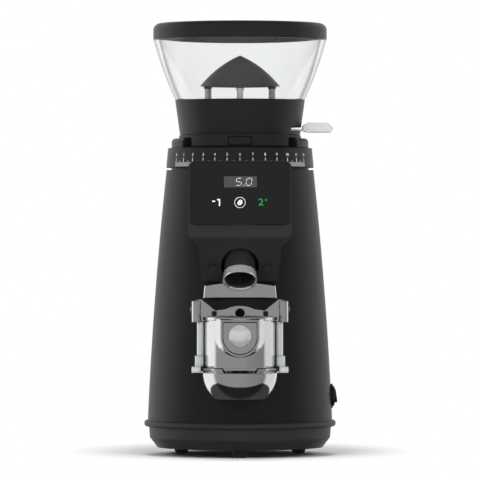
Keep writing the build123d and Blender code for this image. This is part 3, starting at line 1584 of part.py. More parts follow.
# Front housing: hollow head and neck, fitted to the tower and clear of the dial
head_outside = head_form(0)
head_inside = head_form(head_wall)
with BuildPart() as front_housing:
    add(head_outside)
    add(head_inside, mode=Mode.SUBTRACT)
    with BuildSketch(Plane.XZ):
        with Locations((-head_screw_spread, head_screw_height), (head_screw_spread, head_screw_height)):
            Circle(head_boss_radius)
    extrude(amount=head_screw_seat + blind_end)
    revolve(tower_section(-head_back_gap), axis=Axis.Z, mode=Mode.SUBTRACT)
    dial_room = ring_section(0, dial_bottom_radius + dial_clearance, body_top, head_top)
    revolve(dial_room, axis=Axis.Z, mode=Mode.SUBTRACT)
    with BuildSketch(spout_plane):
        Circle(tube_radius + tube_hole_gap)
    extrude(amount=tube_end / 2, mode=Mode.SUBTRACT)
    with BuildSketch(Plane.XZ.offset(head_front)):
        with Locations((0, glass_middle)):
            RectangleRounded(panel_window_width, panel_window_height, head_wall)
    extrude(amount=-head_wall, mode=Mode.SUBTRACT)
    with BuildSketch(Plane.XZ.offset(head_screw_seat)):
        with Locations((-head_screw_spread, head_screw_height), (head_screw_spread, head_screw_height)):
            Circle(head_screw_head_radius + 2 * screw_gap)
    extrude(amount=head_front - head_screw_seat, mode=Mode.SUBTRACT)
    with BuildSketch(Plane.XZ):
        with Locations((-head_screw_spread, head_screw_height), (head_screw_spread, head_screw_height)):
            Circle(head_screw_radius + screw_gap)
    extrude(amount=head_front, mode=Mode.SUBTRACT)
front_housing.part.label = "front_housing"
export_step(front_housing.part, "parts/front_housing.step")

# Head screws, through the neck's bosses into the tower
with BuildPart() as head_screws:
    with BuildSketch(Plane.XZ.offset(head_screw_seat)):
        with Locations((-head_screw_spread, head_screw_height), (head_screw_spread, head_screw_height)):
            Circle(head_screw_head_radius)
    extrude(amount=head_screw_head_height)
    with BuildSketch(Plane.XZ.offset(head_screw_seat + head_screw_head_height)):
        with Locations((-head_screw_spread, head_screw_height), (head_screw_spread, head_screw_height)):
            RegularPolygon(head_screw_head_radius / 2, 6)
    extrude(amount=-head_screw_head_height / 2, mode=Mode.SUBTRACT)
    with BuildSketch(Plane.XZ.offset(head_screw_seat)):
        with Locations((-head_screw_spread, head_screw_height), (head_screw_spread, head_screw_height)):
            Circle(head_screw_radius)
    extrude(amount=-head_screw_length)
head_screws.part.label = "head_screws"
export_step(head_screws.part, "parts/head_screws.step")

# Glass touch panel, bonded to the head's front
with BuildPart() as touch_panel:
    with BuildSketch(Plane.XZ.offset(head_front)):
        with Locations((0, glass_middle)):
            RectangleRounded(glass_width, glass_height, glass_corner)
    extrude(amount=glass_thickness)
    chamfer(touch_panel.edges().group_by(Axis.Y)[0], glass_edge)
touch_panel.part.label = "touch_panel"
export_step(touch_panel.part, "parts/touch_panel.step")

# Display board behind the head's front wall
board_face = head_front - head_wall
with BuildPart() as display_board:
    with BuildSketch(Plane.XZ.offset(board_face)):
        with Locations((0, glass_middle)):
            Rectangle(display_board_width, display_board_height)
    extrude(amount=-board_thickness)
display_board.part.label = "display_board"
export_step(display_board.part, "parts/display_board.step")

# Display module on the board, in the wall's window
with BuildPart() as display_module:
    with BuildSketch(Plane.XZ.offset(board_face)):
        with Locations((0, display_middle)):
            Rectangle(display_width, display_height)
    extrude(amount=head_wall - seat_gap)
display_module.part.label = "display_module"
export_step(display_module.part, "parts/display_module.step")

# Grounds chute: an inlet box on the chamber's outlet and a tube leaning out of the neck
with BuildPart() as grounds_chute:
    with BuildSketch(spout_plane.offset(tube_start)):
        Circle(tube_radius)
    extrude(amount=tube_end - tube_start)
    with BuildSketch(Plane.XZ.offset(outlet_face)):
        with Locations((0, chute_middle)):
            Rectangle(2 * chute_half_width, chute_top - chute_bottom)
    extrude(amount=chute_front - outlet_face)
    with BuildSketch(Plane.XZ.offset(outlet_face + chute_wall)):
        with Locations((0, chute_middle)):
            Rectangle(2 * (chute_half_width - chute_wall), chute_top - chute_bottom - 2 * chute_wall)
    extrude(amount=chute_front - outlet_face - 2 * chute_wall, mode=Mode.SUBTRACT)
    with BuildSketch(Plane.XZ.offset(outlet_face)):
        with Locations((0, outlet_middle)):
            Rectangle(2 * (chute_half_width - chute_wall), outlet_height)
    extrude(amount=chute_wall, mode=Mode.SUBTRACT)
    with BuildSketch(spout_plane.offset(tube_start)):
        Circle(tube_bore)
    extrude(amount=tube_end - tube_start - chute_wall, mode=Mode.SUBTRACT)
grounds_chute.part.label = "grounds_chute"
export_step(grounds_chute.part, "parts/grounds_chute.step")

# Spout tip: a flared bright ring pushed over the end of the tube
tip_section = Plane(
    origin=spout_plane.origin,
    x_dir=(1, 0, 0),
    z_dir=(0, -cos(radians(spout_lean)), sin(radians(spout_lean))),
)
with BuildPart() as spout_tip:
    with BuildSketch(tip_section):
        with BuildLine():
            socket = tube_radius + seat_gap
            Polyline(
                (tip_radius - tip_wall, 0),
                (tip_radius, 0),
                (tip_radius, tip_lip),
                (socket + tip_wall, tip_length - tip_lip),
                (socket + tip_wall, tip_length),
                (socket, tip_length),
                (socket, tube_start),
                (tube_bore, tube_start),
                close=True,
            )
        make_face()
    revolve(axis=Axis(spout_plane.origin, spout_plane.z_dir))
spout_tip.part.label = "spout_tip"
export_step(spout_tip.part, "parts/spout_tip.step")

# Guide rail on the tower's front, T-shaped in plan
with BuildPart() as guide_rail:
    with BuildSketch(Plane.XY.offset(rail_bottom)):
        with Locations((0, front * (rail_head_back + rail_head / 2))):
            Rectangle(2 * rail_half_width, rail_head)
        with Locations((0, front * (rail_head_back - rail_stem_depth / 2))):
            Rectangle(2 * rail_stem_half_width, rail_stem_depth)
    extrude(amount=rail_top - rail_bottom)
    revolve(tower_section(-head_back_gap), axis=Axis.Z, mode=Mode.SUBTRACT)
guide_rail.part.label = "guide_rail"
export_step(guide_rail.part, "parts/guide_rail.step")

# Rail cap: the arched plate between the rail and the neck
with BuildPart() as rail_cap:
    with BuildSketch(Plane.XZ):
        with BuildLine():
            arch = ThreePointArc(
                (-cap_top_half_width, cap_side_top), (0, cap_top), (cap_top_half_width, cap_side_top)
            )
            Polyline(arch @ 1, (cap_half_width, cap_bottom), (-cap_half_width, cap_bottom), arch @ 0)
        make_face()
    extrude(amount=cap_front)
    chamfer(rail_cap.edges().group_by(Axis.Y)[0], cap_edge)
    revolve(tower_section(-head_back_gap), axis=Axis.Z, mode=Mode.SUBTRACT)
rail_cap.part.label = "rail_cap"
export_step(rail_cap.part, "parts/rail_cap.step")

# Holder bracket: the yoke with its two ears and the tail that slides on the rail
ear_middle = (ear_inner + ear_outer) / 2
ear_depth = ear_front - bracket_back
with BuildPart() as holder_bracket:
    with BuildSketch(Plane.XZ.offset(bracket_back)):
        with BuildLine():
            hump = ThreePointArc(
                (-yoke_hump_half_width, yoke_shoulder_top),
                (0, yoke_hump_top),
                (yoke_hump_half_width, yoke_shoulder_top),
            )
            Polyline(
                hump @ 1,
                (yoke_wing_half_width, yoke_bar_top),
                (ear_inner, yoke_wing_top),
                (ear_outer, ear_top),
                (ear_outer, yoke_bottom),
                (bracket_tail_half_width, yoke_bottom),
                (bracket_tail_half_width, bracket_tail_bottom),
                (-bracket_tail_half_width, bracket_tail_bottom),
                (-bracket_tail_half_width, yoke_bottom),
                (-ear_outer, yoke_bottom),
                (-ear_outer, ear_top),
                (-ear_inner, yoke_wing_top),
                (-yoke_wing_half_width, yoke_bar_top),
                hump @ 0,
            )
        make_face()
    extrude(amount=bracket_front - bracket_back)
    with BuildSketch(Plane.XY.offset(yoke_bottom)):
        with Locations((-ear_middle, front * (ear_front + bracket_back) / 2),
                       (ear_middle, front * (ear_front + bracket_back) / 2)):
            Rectangle(ear_outer - ear_inner, ear_depth)
    extrude(amount=ear_top - yoke_bottom)
    ear_corners = holder_bracket.edges().filter_by(Axis.Z).group_by(Axis.Y)[0]
    fillet(ear_corners, ear_rounding)
    with BuildSketch(Plane.XY.offset(bracket_tail_bottom)):
        with Locations((0, front * (rail_head_back + rail_head / 2))):
            Rectangle(2 * (rail_half_width + running_gap), rail_head + 2 * running_gap)
        with Locations((0, front * (bracket_back + bracket_lip / 2))):
            Rectangle(2 * (rail_stem_half_width + running_gap), bracket_lip)
    extrude(amount=yoke_wing_top - bracket_tail_bottom, mode=Mode.SUBTRACT)
    with BuildSketch(Plane.XZ.offset(bracket_front)):
        with Locations((-pad_spread, pad_height), (pad_spread, pad_height)):
            Rectangle(pad_size, pad_size)
    extrude(amount=pad_rise - pad_depth, mode=Mode.SUBTRACT)
    with BuildSketch(Plane.XZ.offset(rail_front)):
        with Locations((0, clamp_height)):
            Circle(clamp_shank_radius + seat_gap)
    extrude(amount=bracket_front - rail_front, mode=Mode.SUBTRACT)
    with BuildSketch(Plane.XZ.offset(clamp_seat)):
        with Locations((0, clamp_height)):
            Circle(clamp_head_radius + seat_gap)
    extrude(amount=clamp_head_height, mode=Mode.SUBTRACT)
    with BuildSketch(Plane.XY.offset(yoke_bottom)):
        with Locations((-tongue_middle, front * column_middle), (tongue_middle, front * column_middle)):
            Rectangle(tongue_width + 2 * seat_gap, tongue_depth + 2 * seat_gap)
    extrude(amount=tongue_top + seat_gap - yoke_bottom, mode=Mode.SUBTRACT)
    with BuildSketch(Plane.YZ):
        with Locations((front * column_middle, side_pin_height)):
            Circle(side_pin_radius + seat_gap)
    extrude(amount=2 * ear_outer, both=True, mode=Mode.SUBTRACT)
holder_bracket.part.label = "holder_bracket"
export_step(holder_bracket.part, "parts/holder_bracket.step")

# Rubber pads that the portafilter rests against
with BuildPart() as bracket_pads:
    with BuildSketch(Plane.XZ.offset(bracket_front + pad_rise - pad_depth)):
        with Locations((-pad_spread, pad_height), (pad_spread, pad_height)):
            Rectangle(pad_size, pad_size)
    extrude(amount=pad_depth)
bracket_pads.part.label = "bracket_pads"
export_step(bracket_pads.part, "parts/bracket_pads.step")

# Clamp screw with a hex socket, sunk in the yoke, its tip just off the rail
with BuildPart() as clamp_screw:
    with BuildSketch(Plane.XZ.offset(clamp_seat)):
        with Locations((0, clamp_height)):
            Circle(clamp_head_radius)
    extrude(amount=clamp_head_height)
    chamfer(clamp_screw.edges().sort_by(Axis.Y)[0], clamp_head_height / 5)
    with BuildSketch(Plane.XZ.offset(bracket_front)):
        with Locations((0, clamp_height)):
            RegularPolygon(clamp_socket_radius, 6)
    extrude(amount=-clamp_head_height * clamp_socket_share, mode=Mode.SUBTRACT)
    with BuildSketch(Plane.XZ.offset(clamp_seat)):
        with Locations((0, clamp_height)):
            Circle(clamp_shank_radius)
    extrude(amount=rail_front + running_gap - clamp_seat)
clamp_screw.part.label = "clamp_screw"
export_step(clamp_screw.part, "parts/clamp_screw.step")

# Side frames: columns with tongues in the ears, foot blocks and the bars that carry the catch bowl
with BuildPart() as side_frames:
    with BuildSketch(Plane.XY.offset(rail_bar_bottom)):
        with Locations((rail_bar_middle, front * (rail_bar_back + rail_bar_front) / 2)):
            rail_bar_width = rail_bar_outer - rail_bar_inner
            RectangleRounded(rail_bar_width, rail_bar_front - rail_bar_back, column_rounding)
    extrude(amount=rail_bar_top - rail_bar_bottom)
    with BuildSketch(Plane.XY.offset(rail_bar_bottom)):
        with Locations(((ledge_inner + rail_bar_inner) / 2, front * (rail_bar_back + rail_bar_front) / 2)):
            Rectangle(rail_bar_inner - ledge_inner, rail_bar_front - rail_bar_back)
    extrude(amount=ledge_height)
    with BuildSketch(Plane.XY.offset(rail_bar_top)):
        with Locations(((frame_inner + frame_outer) / 2, front * column_middle)):
            RectangleRounded(frame_width, column_depth, column_rounding)
    extrude(amount=yoke_bottom - rail_bar_top)
    with BuildSketch(Plane.XY.offset(rail_bar_top)):
        with Locations(((frame_inner + frame_outer + block_width) / 2, front * column_middle)):
            RectangleRounded(frame_width + block_width, block_depth, column_rounding)
    extrude(amount=block_top - rail_bar_top)
    with BuildSketch(Plane.XY.offset(yoke_bottom)):
        with Locations((tongue_middle, front * column_middle)):
            Rectangle(tongue_width, tongue_depth)
    extrude(amount=tongue_top - yoke_bottom)
    with BuildSketch(Plane.YZ):
        with Locations((front * column_middle, side_pin_height)):
            Circle(side_pin_radius + seat_gap)
    extrude(amount=ear_outer, mode=Mode.SUBTRACT)
    mirror(about=Plane.YZ)
side_frames.part.label = "side_frames"
export_step(side_frames.part, "parts/side_frames.step")

# Side pins that hold the frames in the ears
with BuildPart() as side_pins:
    with BuildSketch(Plane.YZ.offset(ear_outer)):
        with Locations((front * column_middle, side_pin_height)):
            Circle(side_pin_head_radius)
    extrude(amount=side_pin_head)
    chamfer(side_pins.edges().sort_by(Axis.X)[-1], side_pin_head / 4)
    with BuildSketch(Plane.YZ.offset(ear_outer)):
        with Locations((front * column_middle, side_pin_height)):
            Circle(side_pin_radius)
    extrude(amount=ear_inner + blind_end - ear_outer)
    mirror(about=Plane.YZ)
side_pins.part.label = "side_pins"
export_step(side_pins.part, "parts/side_pins.step")

# Holder cup: an open bright cup with a beaded rim, a flat back and a U-shaped boss round the paddle
cup_boss = boss_form()
with BuildPart() as holder_cup:
    with BuildSketch(Plane.XY.offset(cup_bottom)):
        with Locations((0, front * cup_centre)):
            Circle(cup_radius)
    extrude(amount=cup_top - cup_bottom)
    with BuildSketch(Plane.XY.offset(cup_top - cup_bead_height)):
        with Locations((0, front * cup_centre)):
            Circle(cup_radius + cup_bead)
    extrude(amount=cup_bead_height)
    add(cup_boss)
    split(bisect_by=Plane.XZ.offset(bracket_front), keep=Keep.TOP)
    with BuildSketch(Plane.XY.offset(cup_bottom)):
        with Locations((0, front * cup_centre)):
            Circle(cup_radius - cup_wall)
        with Locations((0, front * (bracket_front + cup_wall - cup_radius))):
            Rectangle(2 * cup_radius, 2 * cup_radius, mode=Mode.SUBTRACT)
    extrude(amount=cup_top - cup_bottom, mode=Mode.SUBTRACT)
    extrude(u_outline(window_half_width, boss_front, paddle_gap), amount=-boss_depth, mode=Mode.SUBTRACT)
    with BuildSketch(Plane.YZ):
        with Locations((front * paddle_pin_depth, paddle_pin_height)):
            Circle(paddle_pin_radius + seat_gap)
    extrude(amount=paddle_pin_end + seat_gap, both=True, mode=Mode.SUBTRACT)
holder_cup.part.label = "holder_cup"
export_step(holder_cup.part, "parts/holder_cup.step")

# Start paddle: a U-shaped plate with a round dome, hung on its pin
with BuildPart() as start_paddle:
    extrude(u_outline(paddle_half_width, paddle_back, 0), amount=paddle_thickness)
    fillet(start_paddle.edges().group_by(Axis.Y)[0], paddle_edge)
    with Locations((0, front * (paddle_front + dome_rise - dome_sphere), dome_height)):
        Sphere(dome_sphere)
    split(bisect_by=Plane.XZ.offset(paddle_back), keep=Keep.TOP)
    with BuildSketch(Plane.YZ):
        with Locations((front * paddle_pin_depth, paddle_pin_height)):
            Circle(knuckle_radius)
    extrude(amount=knuckle_half_width, both=True)
    with BuildSketch(Plane.YZ):
        with Locations((front * paddle_pin_depth, paddle_pin_height)):
            Circle(paddle_pin_radius + shaft_gap)
    extrude(amount=paddle_half_width, both=True, mode=Mode.SUBTRACT)
start_paddle.part.label = "start_paddle"
export_step(start_paddle.part, "parts/start_paddle.step")

# Paddle pin across the boss
with BuildPart() as paddle_pin:
    with BuildSketch(Plane.YZ):
        with Locations((front * paddle_pin_depth, paddle_pin_height)):
            Circle(paddle_pin_radius)
    extrude(amount=paddle_pin_end, both=True)
paddle_pin.part.label = "paddle_pin"
export_step(paddle_pin.part, "parts/paddle_pin.step")

# Paddle switch: a small block on the cup's wall, behind the paddle's lower end
switch_face = paddle_back - paddle_stroke
with BuildPart() as paddle_switch:
    with BuildSketch(Plane.YZ):
        with BuildLine():
            Polyline(
                (front * cup_front, paddle_switch_bottom),
                (front * cup_front, paddle_switch_step),
                (front * switch_face, paddle_switch_step),
                (front * switch_face, paddle_switch_top),
                (front * (switch_face - paddle_switch_depth), paddle_switch_top),
                (front * (switch_face - paddle_switch_depth), paddle_switch_bottom),
                close=True,
            )
        make_face()
    extrude(amount=paddle_switch_half_width, both=True)
    with BuildSketch(Plane.XY.offset(cup_bottom)):
        with Locations((0, front * cup_centre)):
            Circle(cup_radius - cup_wall)
    extrude(amount=cup_top - cup_bottom, mode=Mode.INTERSECT)
paddle_switch.part.label = "paddle_switch"
export_step(paddle_switch.part, "parts/paddle_switch.step")

# Catch bowl: a round-bottomed cup under the holder, hung on the side bars by its flange
bowl_outside = bowl_form(0)
bowl_hollow = bowl_form(bowl_shell)
with BuildPart() as catch_bowl:
    with BuildSketch(Plane.XY.offset(bowl_flange_bottom)):
        with Locations((0, front * cup_centre)):
            Circle(bowl_flange_radius)
    extrude(amount=bowl_flange_height)
    split(bisect_by=Plane.XZ.offset(bowl_back), keep=Keep.TOP)
    add(bowl_outside)
    add(bowl_hollow, mode=Mode.SUBTRACT)
    with BuildSketch(Plane.XZ.offset(cup_centre)):
        with BuildLine():
            Polyline(
                (-notch_top_half_width, bowl_flange_top),
                (notch_top_half_width, bowl_flange_top),
                (notch_bottom_half_width, bowl_flange_top - notch_depth),
                (-notch_bottom_half_width, bowl_flange_top - notch_depth),
                close=True,
            )
        make_face()
    extrude(amount=2 * bowl_radius, mode=Mode.SUBTRACT)
catch_bowl.part.label = "catch_bowl"
export_step(catch_bowl.part, "parts/catch_bowl.step")
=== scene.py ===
"""Looks of a burr coffee grinder: its finishes, the dial's print, the panel's marks and the studio."""

import logging
import math
from collections.abc import Mapping, Sequence
from dataclasses import dataclass, field
from enum import Enum
from typing import Any

import bpy
from mathutils import Matrix, Vector


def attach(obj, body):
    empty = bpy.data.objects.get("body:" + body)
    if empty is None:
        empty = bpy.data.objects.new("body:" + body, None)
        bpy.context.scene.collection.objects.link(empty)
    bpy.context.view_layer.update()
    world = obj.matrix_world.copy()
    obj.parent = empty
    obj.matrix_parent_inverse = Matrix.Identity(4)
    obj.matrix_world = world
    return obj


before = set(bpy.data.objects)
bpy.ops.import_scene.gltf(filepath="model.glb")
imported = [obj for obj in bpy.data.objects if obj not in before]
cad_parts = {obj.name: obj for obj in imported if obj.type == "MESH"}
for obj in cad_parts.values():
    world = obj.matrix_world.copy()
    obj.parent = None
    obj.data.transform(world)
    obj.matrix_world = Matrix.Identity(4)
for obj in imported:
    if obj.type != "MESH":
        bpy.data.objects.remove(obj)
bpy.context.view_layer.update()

Tree = bpy.types.NodeTree
Node = bpy.types.Node
Socket = bpy.types.NodeSocket
Piece = bpy.types.Object
Point = tuple[float, float, float]
Span = tuple[float, float]

LOG = logging.getLogger("grinder")
MM = 0.001
FIGURE_SCALE = 1.4  # the built-in face's size over the height of its figures
CORNER_SEGMENTS = 5
RING_SIDES = 64
WAVE_RATE = 20  # radians that a wave texture of scale 1 turns in a metre
WHITE = (1, 1, 1, 1)


class Body(str, Enum):
    """Moving groups of the grinder that new pieces ride on."""

    STAND = "stand"
    DIAL = "dial"
    ROCKER = "rocker"


class Grain(Enum):
    """How a metal's surface was worked."""

    POLISHED = "polished"
    BRUSHED = "brushed"
    CAST = "cast"
    GROUND = "ground"


def linear(hex_colour: str) -> tuple[float, float, float, float]:
    """Turn an sRGB hex colour into a linear one, by the curve that the standard gives.

    Args:
        hex_colour: Six hex digits with a leading hash.

    Returns:
        Red, green, blue and full alpha in linear light.
    """
    parts = [int(hex_colour[i:i + 2], 16) / 255 for i in (1, 3, 5)]
    red, green, blue = [p / 12.92 if p <= 0.04045 else ((p + 0.055) / 1.055) ** 2.4 for p in parts]
    return red, green, blue, 1.0


def per_metre(size_mm: float) -> float:
    """Scale of a pattern whose features are this many millimetres across."""
    return 1 / (size_mm * MM)


def bare_tree(owner: bpy.types.Material | bpy.types.World) -> Tree:
    """Give a material or a world an empty node tree.

    Args:
        owner: The material or world.

    Returns:
        Its node tree, with no nodes in it.
    """
    owner.use_nodes = True
    owner.node_tree.nodes.clear()
    return owner.node_tree


def add_node(
    tree: Tree,
    kind: str,
    values: Mapping[str | int, Any] | None = None,
    links: Mapping[str | int, Socket] | None = None,
    **settings: Any,
) -> Node:
    """Add one node with its settings, socket values and links.

    Args:
        tree: Node tree that takes the node.
        kind: Blender's type name of the node.
        values: Values for its unlinked inputs, by input name or place.
        links: Sockets that feed its inputs, by input name or place.
        **settings: Attributes of the node itself.

    Returns:
        The new node.
    """
    node = tree.nodes.new(kind)
    for name, value in settings.items():
        setattr(node, name, value)
    for name, value in (values or {}).items():
        node.inputs[name].default_value = value
    for name, socket in (links or {}).items():
        tree.links.new(socket, node.inputs[name])
    return node


@dataclass(frozen=True)
class Finish:
    """A surface finish with a base colour, a gloss and a fine relief."""

    name: str
    colour: str
    roughness: float
    variation: float = 0.05
    patch_mm: float = 40.0
    patch_detail: float = 4.0
    deep_share: float = 0.86
    grain_mm: float = 0.6
    grain_detail: float = 2.0
    grain_rise: float = 0.3
    relief: float = 0.05
    edge_mm: float = 0.0
    edge_samples: int = 6

    def make(self) -> bpy.types.Material:
        """Build the material once and hand out the same one after that.

        Returns:
            The material.
        """
        known = bpy.data.materials.get(self.name)
        if known:
            return known
        material = bpy.data.materials.new(self.name)
        tree = bare_tree(material)
        shader = add_node(tree, "ShaderNodeBsdfPrincipled", self.constants())
        place = add_node(tree, "ShaderNodeTexCoord").outputs["Object"]
        self.paint(tree, shader, place)
        add_node(tree, "ShaderNodeOutputMaterial", links={"Surface": shader.outputs["BSDF"]})
        return material

    def constants(self) -> dict[str, Any]:
        """Shader inputs that are the same all over the surface."""
        return {}

    def paint(self, tree: Tree, shader: Node, place: Socket) -> None:
        """Feed the shader: patchy gloss, slight colour change and a fine grain.

        Args:
            tree: Material's node tree.
            shader: Its principled shader.
            place: Object coordinates.
        """
        patches = self.patches(tree, place)
        self.gloss(tree, shader, patches)
        self.tint(tree, shader, patches)
        self.emboss(tree, shader, place)

    def patches(self, tree: Tree, place: Socket) -> Socket:
        """Lay the uneven patches that gloss and colour follow."""
        values = {"Scale": per_metre(self.patch_mm), "Detail": self.patch_detail}
        return add_node(tree, "ShaderNodeTexNoise", values, {"Vector": place}).outputs["Fac"]

    def gloss(self, tree: Tree, shader: Node, patches: Socket) -> None:
        """Vary the roughness a little from patch to patch.

        Args:
            tree: Material's node tree.
            shader: Its principled shader.
            patches: Strength of the patches.
        """
        levels = {"To Min": self.roughness - self.variation, "To Max": self.roughness + self.variation}
        spread = add_node(tree, "ShaderNodeMapRange", levels, {"Value": patches})
        tree.links.new(spread.outputs["Result"], shader.inputs["Roughness"])

    def tint(self, tree: Tree, shader: Node, patches: Socket) -> None:
        """Vary the colour's depth a little from patch to patch.

        Args:
            tree: Material's node tree.
            shader: Its principled shader.
            patches: Strength of the patches.
        """
        base = linear(self.colour)
        deep = tuple(c * self.deep_share for c in base[:3]) + (1.0,)
        mix = add_node(tree, "ShaderNodeMixRGB", {"Color1": deep, "Color2": base}, {"Fac": patches})
        tree.links.new(mix.outputs["Color"], shader.inputs["Base Color"])

    def emboss(self, tree: Tree, shader: Node, place: Socket) -> None:
        """Raise a fine even grain and turn the light softly over worn or moulded edges.

        Args:
            tree: Material's node tree.
            shader: Its principled shader.
            place: Coordinates of the grain.
        """
        values = {"Scale": per_metre(self.grain_mm), "Detail": self.grain_detail}
        grain = add_node(tree, "ShaderNodeTexNoise", values, {"Vector": place})
        rise = {"Strength": self.relief, "Distance": self.grain_mm * MM * self.grain_rise}
        bump = add_node(tree, "ShaderNodeBump", rise, {"Height": grain.outputs["Fac"]})
        if self.edge_mm:
            radius = {"Radius": self.edge_mm * MM}
            edge = add_node(tree, "ShaderNodeBevel", radius, samples=self.edge_samples)
            tree.links.new(edge.outputs["Normal"], bump.inputs["Normal"])
        tree.links.new(bump.outputs["Normal"], shader.inputs["Normal"])


@dataclass(frozen=True)
class Plastic(Finish):
    """A moulded or coated dielectric surface."""

    ior: float = 1.4

    def constants(self) -> dict[str, Any]:
        """Give the dielectric its index."""
        return {"IOR": self.ior}


@dataclass(frozen=True)
class Metal(Finish):
    """A bare metal, worked as its grain says."""

    grain: Grain = Grain.POLISHED
    draw: float = 14.0

    def constants(self) -> dict[str, Any]:
        """Make the shader metallic."""
        return {"Metallic": 1.0}

    def emboss(self, tree: Tree, shader: Node, place: Socket) -> None:
        """Lay the grain of the work: drawn out for brushed or ground metal, even for the others.

        Args:
            tree: Material's node tree.
            shader: Its principled shader.
            place: Object coordinates.
        """
        drawn = {Grain.BRUSHED: (1.0, 1.0, self.draw), Grain.GROUND: (self.draw, 1.0, 1.0)}
        stretch = drawn.get(self.grain, (1.0, 1.0, 1.0))
        turned = add_node(tree, "ShaderNodeMapping", {"Scale": stretch}, {"Vector": place})
        super().emboss(tree, shader, turned.outputs["Vector"])


@dataclass(frozen=True)
class SatinMetal(Metal):
    """A blasted or satin-plated metal that scatters part of the light like paint."""

    metallic: float = 0.25

    def constants(self) -> dict[str, Any]:
        """Soften the metal with a scattering share."""
        return {"Metallic": self.metallic}


@dataclass(frozen=True)
class DomedMetal(Metal):
    """A polished metal with a satin round patch."""

    level_mm: float = 140.4
    radius_mm: float = 12.6
    full_share: float = 0.96
    satin: float = 0.27
    metallic: float = 0.62

    def paint(self, tree: Tree, shader: Node, place: Socket) -> None:
        """Make the patch, seen along Y, rougher and paler than the metal around it.

        Args:
            tree: Material's node tree.
            shader: Its principled shader.
            place: Object coordinates.
        """
        super().paint(tree, shader, place)
        middle = {"Location": (0, 0, -self.level_mm * MM), "Scale": (1, 0, 1)}
        flat = add_node(tree, "ShaderNodeMapping", middle, {"Vector": place}).outputs["Vector"]
        reach = add_node(tree, "ShaderNodeVectorMath", links={0: flat}, operation="LENGTH")
        edge = self.radius_mm * MM
        full = edge * self.full_share
        for socket, inside, outside in (
            ("Roughness", self.satin, self.roughness),
            ("Metallic", self.metallic, 1.0),
        ):
            levels = {"From Min": full, "From Max": edge, "To Min": inside, "To Max": outside}
            patch = add_node(tree, "ShaderNodeMapRange", levels, {"Value": reach.outputs["Value"]})
            tree.links.new(patch.outputs["Result"], shader.inputs[socket])


@dataclass(frozen=True)
class PlatedSpout(Metal):
    """Plating on the outside of the spout's end, with the bare dark plastic inside and above it."""

    plastic: str = "#212122"
    plastic_roughness: float = 0.42
    mouth_mm: Point = (0.0, -122.0, 201.0)
    lean_degrees: float = 34.0
    bare_radius_mm: float = 17.0
    plated_mm: float = 10.2
    shine: float = 0.74

    def plated(self, tree: Tree, place: Socket) -> Socket:
        """Tell the plated skin from the bare plastic by its distance from the mouth and the axis.

        Args:
            tree: Material's node tree.
            place: Object coordinates.

        Returns:
            One on the plating and nought on the plastic.
        """
        lean = math.radians(self.lean_degrees)
        axis = (0.0, math.sin(lean), math.cos(lean))
        mouth = tuple(value * MM for value in self.mouth_mm)
        offset = add_node(tree, "ShaderNodeVectorMath", {1: mouth}, {0: place}, operation="SUBTRACT")
        arm = offset.outputs["Vector"]
        along = add_node(tree, "ShaderNodeVectorMath", {1: axis}, {0: arm}, operation="DOT_PRODUCT")
        across = add_node(tree, "ShaderNodeVectorMath", {1: axis}, {0: arm}, operation="CROSS_PRODUCT")
        apart = {0: across.outputs["Vector"]}
        radius = add_node(tree, "ShaderNodeVectorMath", links=apart, operation="LENGTH").outputs["Value"]
        bore = {1: self.bare_radius_mm * MM}
        outside = add_node(tree, "ShaderNodeMath", bore, {0: radius}, operation="GREATER_THAN")
        end = {1: self.plated_mm * MM}
        near = add_node(tree, "ShaderNodeMath", end, {0: along.outputs["Value"]}, operation="LESS_THAN")
        both = {0: outside.outputs["Value"], 1: near.outputs["Value"]}
        return add_node(tree, "ShaderNodeMath", links=both, operation="MULTIPLY").outputs["Value"]

    def paint(self, tree: Tree, shader: Node, place: Socket) -> None:
        """Show the metal only outside the bore and near the mouth.

        Args:
            tree: Material's node tree.
            shader: Its principled shader.
            place: Object coordinates.
        """
        super().paint(tree, shader, place)
        plated = self.plated(tree, place)
        metal = add_node(tree, "ShaderNodeMath", {1: self.shine}, {0: plated}, operation="MULTIPLY")
        tree.links.new(metal.outputs["Value"], shader.inputs["Metallic"])
        levels = {"To Min": self.plastic_roughness, "To Max": self.roughness}
        gloss = add_node(tree, "ShaderNodeMapRange", levels, {"Value": plated})
        tree.links.new(gloss.outputs["Result"], shader.inputs["Roughness"])
        colours = {"Color1": linear(self.plastic), "Color2": linear(self.colour)}
        colour = add_node(tree, "ShaderNodeMixRGB", colours, {"Fac": plated})
        tree.links.new(colour.outputs["Color"], shader.inputs["Base Color"])


@dataclass(frozen=True)
class ClearPlastic(Finish):
    """Clear moulded plastic with faint smears, and painted shade where it is seen edge on."""

    patch_detail: float = 5.0
    ior: float = 1.49
    outline_colour: str = "#4c4c4c"
    outline_start: float = 0.7
    outline_end: float = 0.86

    def constants(self) -> dict[str, Any]:
        """Let light through, bent by the plastic's index."""
        return {"Transmission Weight": 1.0, "IOR": self.ior}

    def paint(self, tree: Tree, shader: Node, place: Socket) -> None:
        """Paint shade on the outline, and change the gloss where hands have been.

        Args:
            tree: Material's node tree.
            shader: Its principled shader.
            place: Object coordinates.
        """
        self.gloss(tree, shader, self.patches(tree, place))
        # painted shade: the base colour turns grey where the surface is seen edge on
        facing = add_node(tree, "ShaderNodeLayerWeight").outputs["Facing"]
        outline = {"From Min": self.outline_start, "From Max": self.outline_end}
        thick = add_node(tree, "ShaderNodeMapRange", outline, {"Value": facing})
        colours = {"Color1": linear(self.colour), "Color2": linear(self.outline_colour)}
        colour = add_node(tree, "ShaderNodeMixRGB", colours, {"Fac": thick.outputs["Result"]})
        tree.links.new(colour.outputs["Color"], shader.inputs["Base Color"])


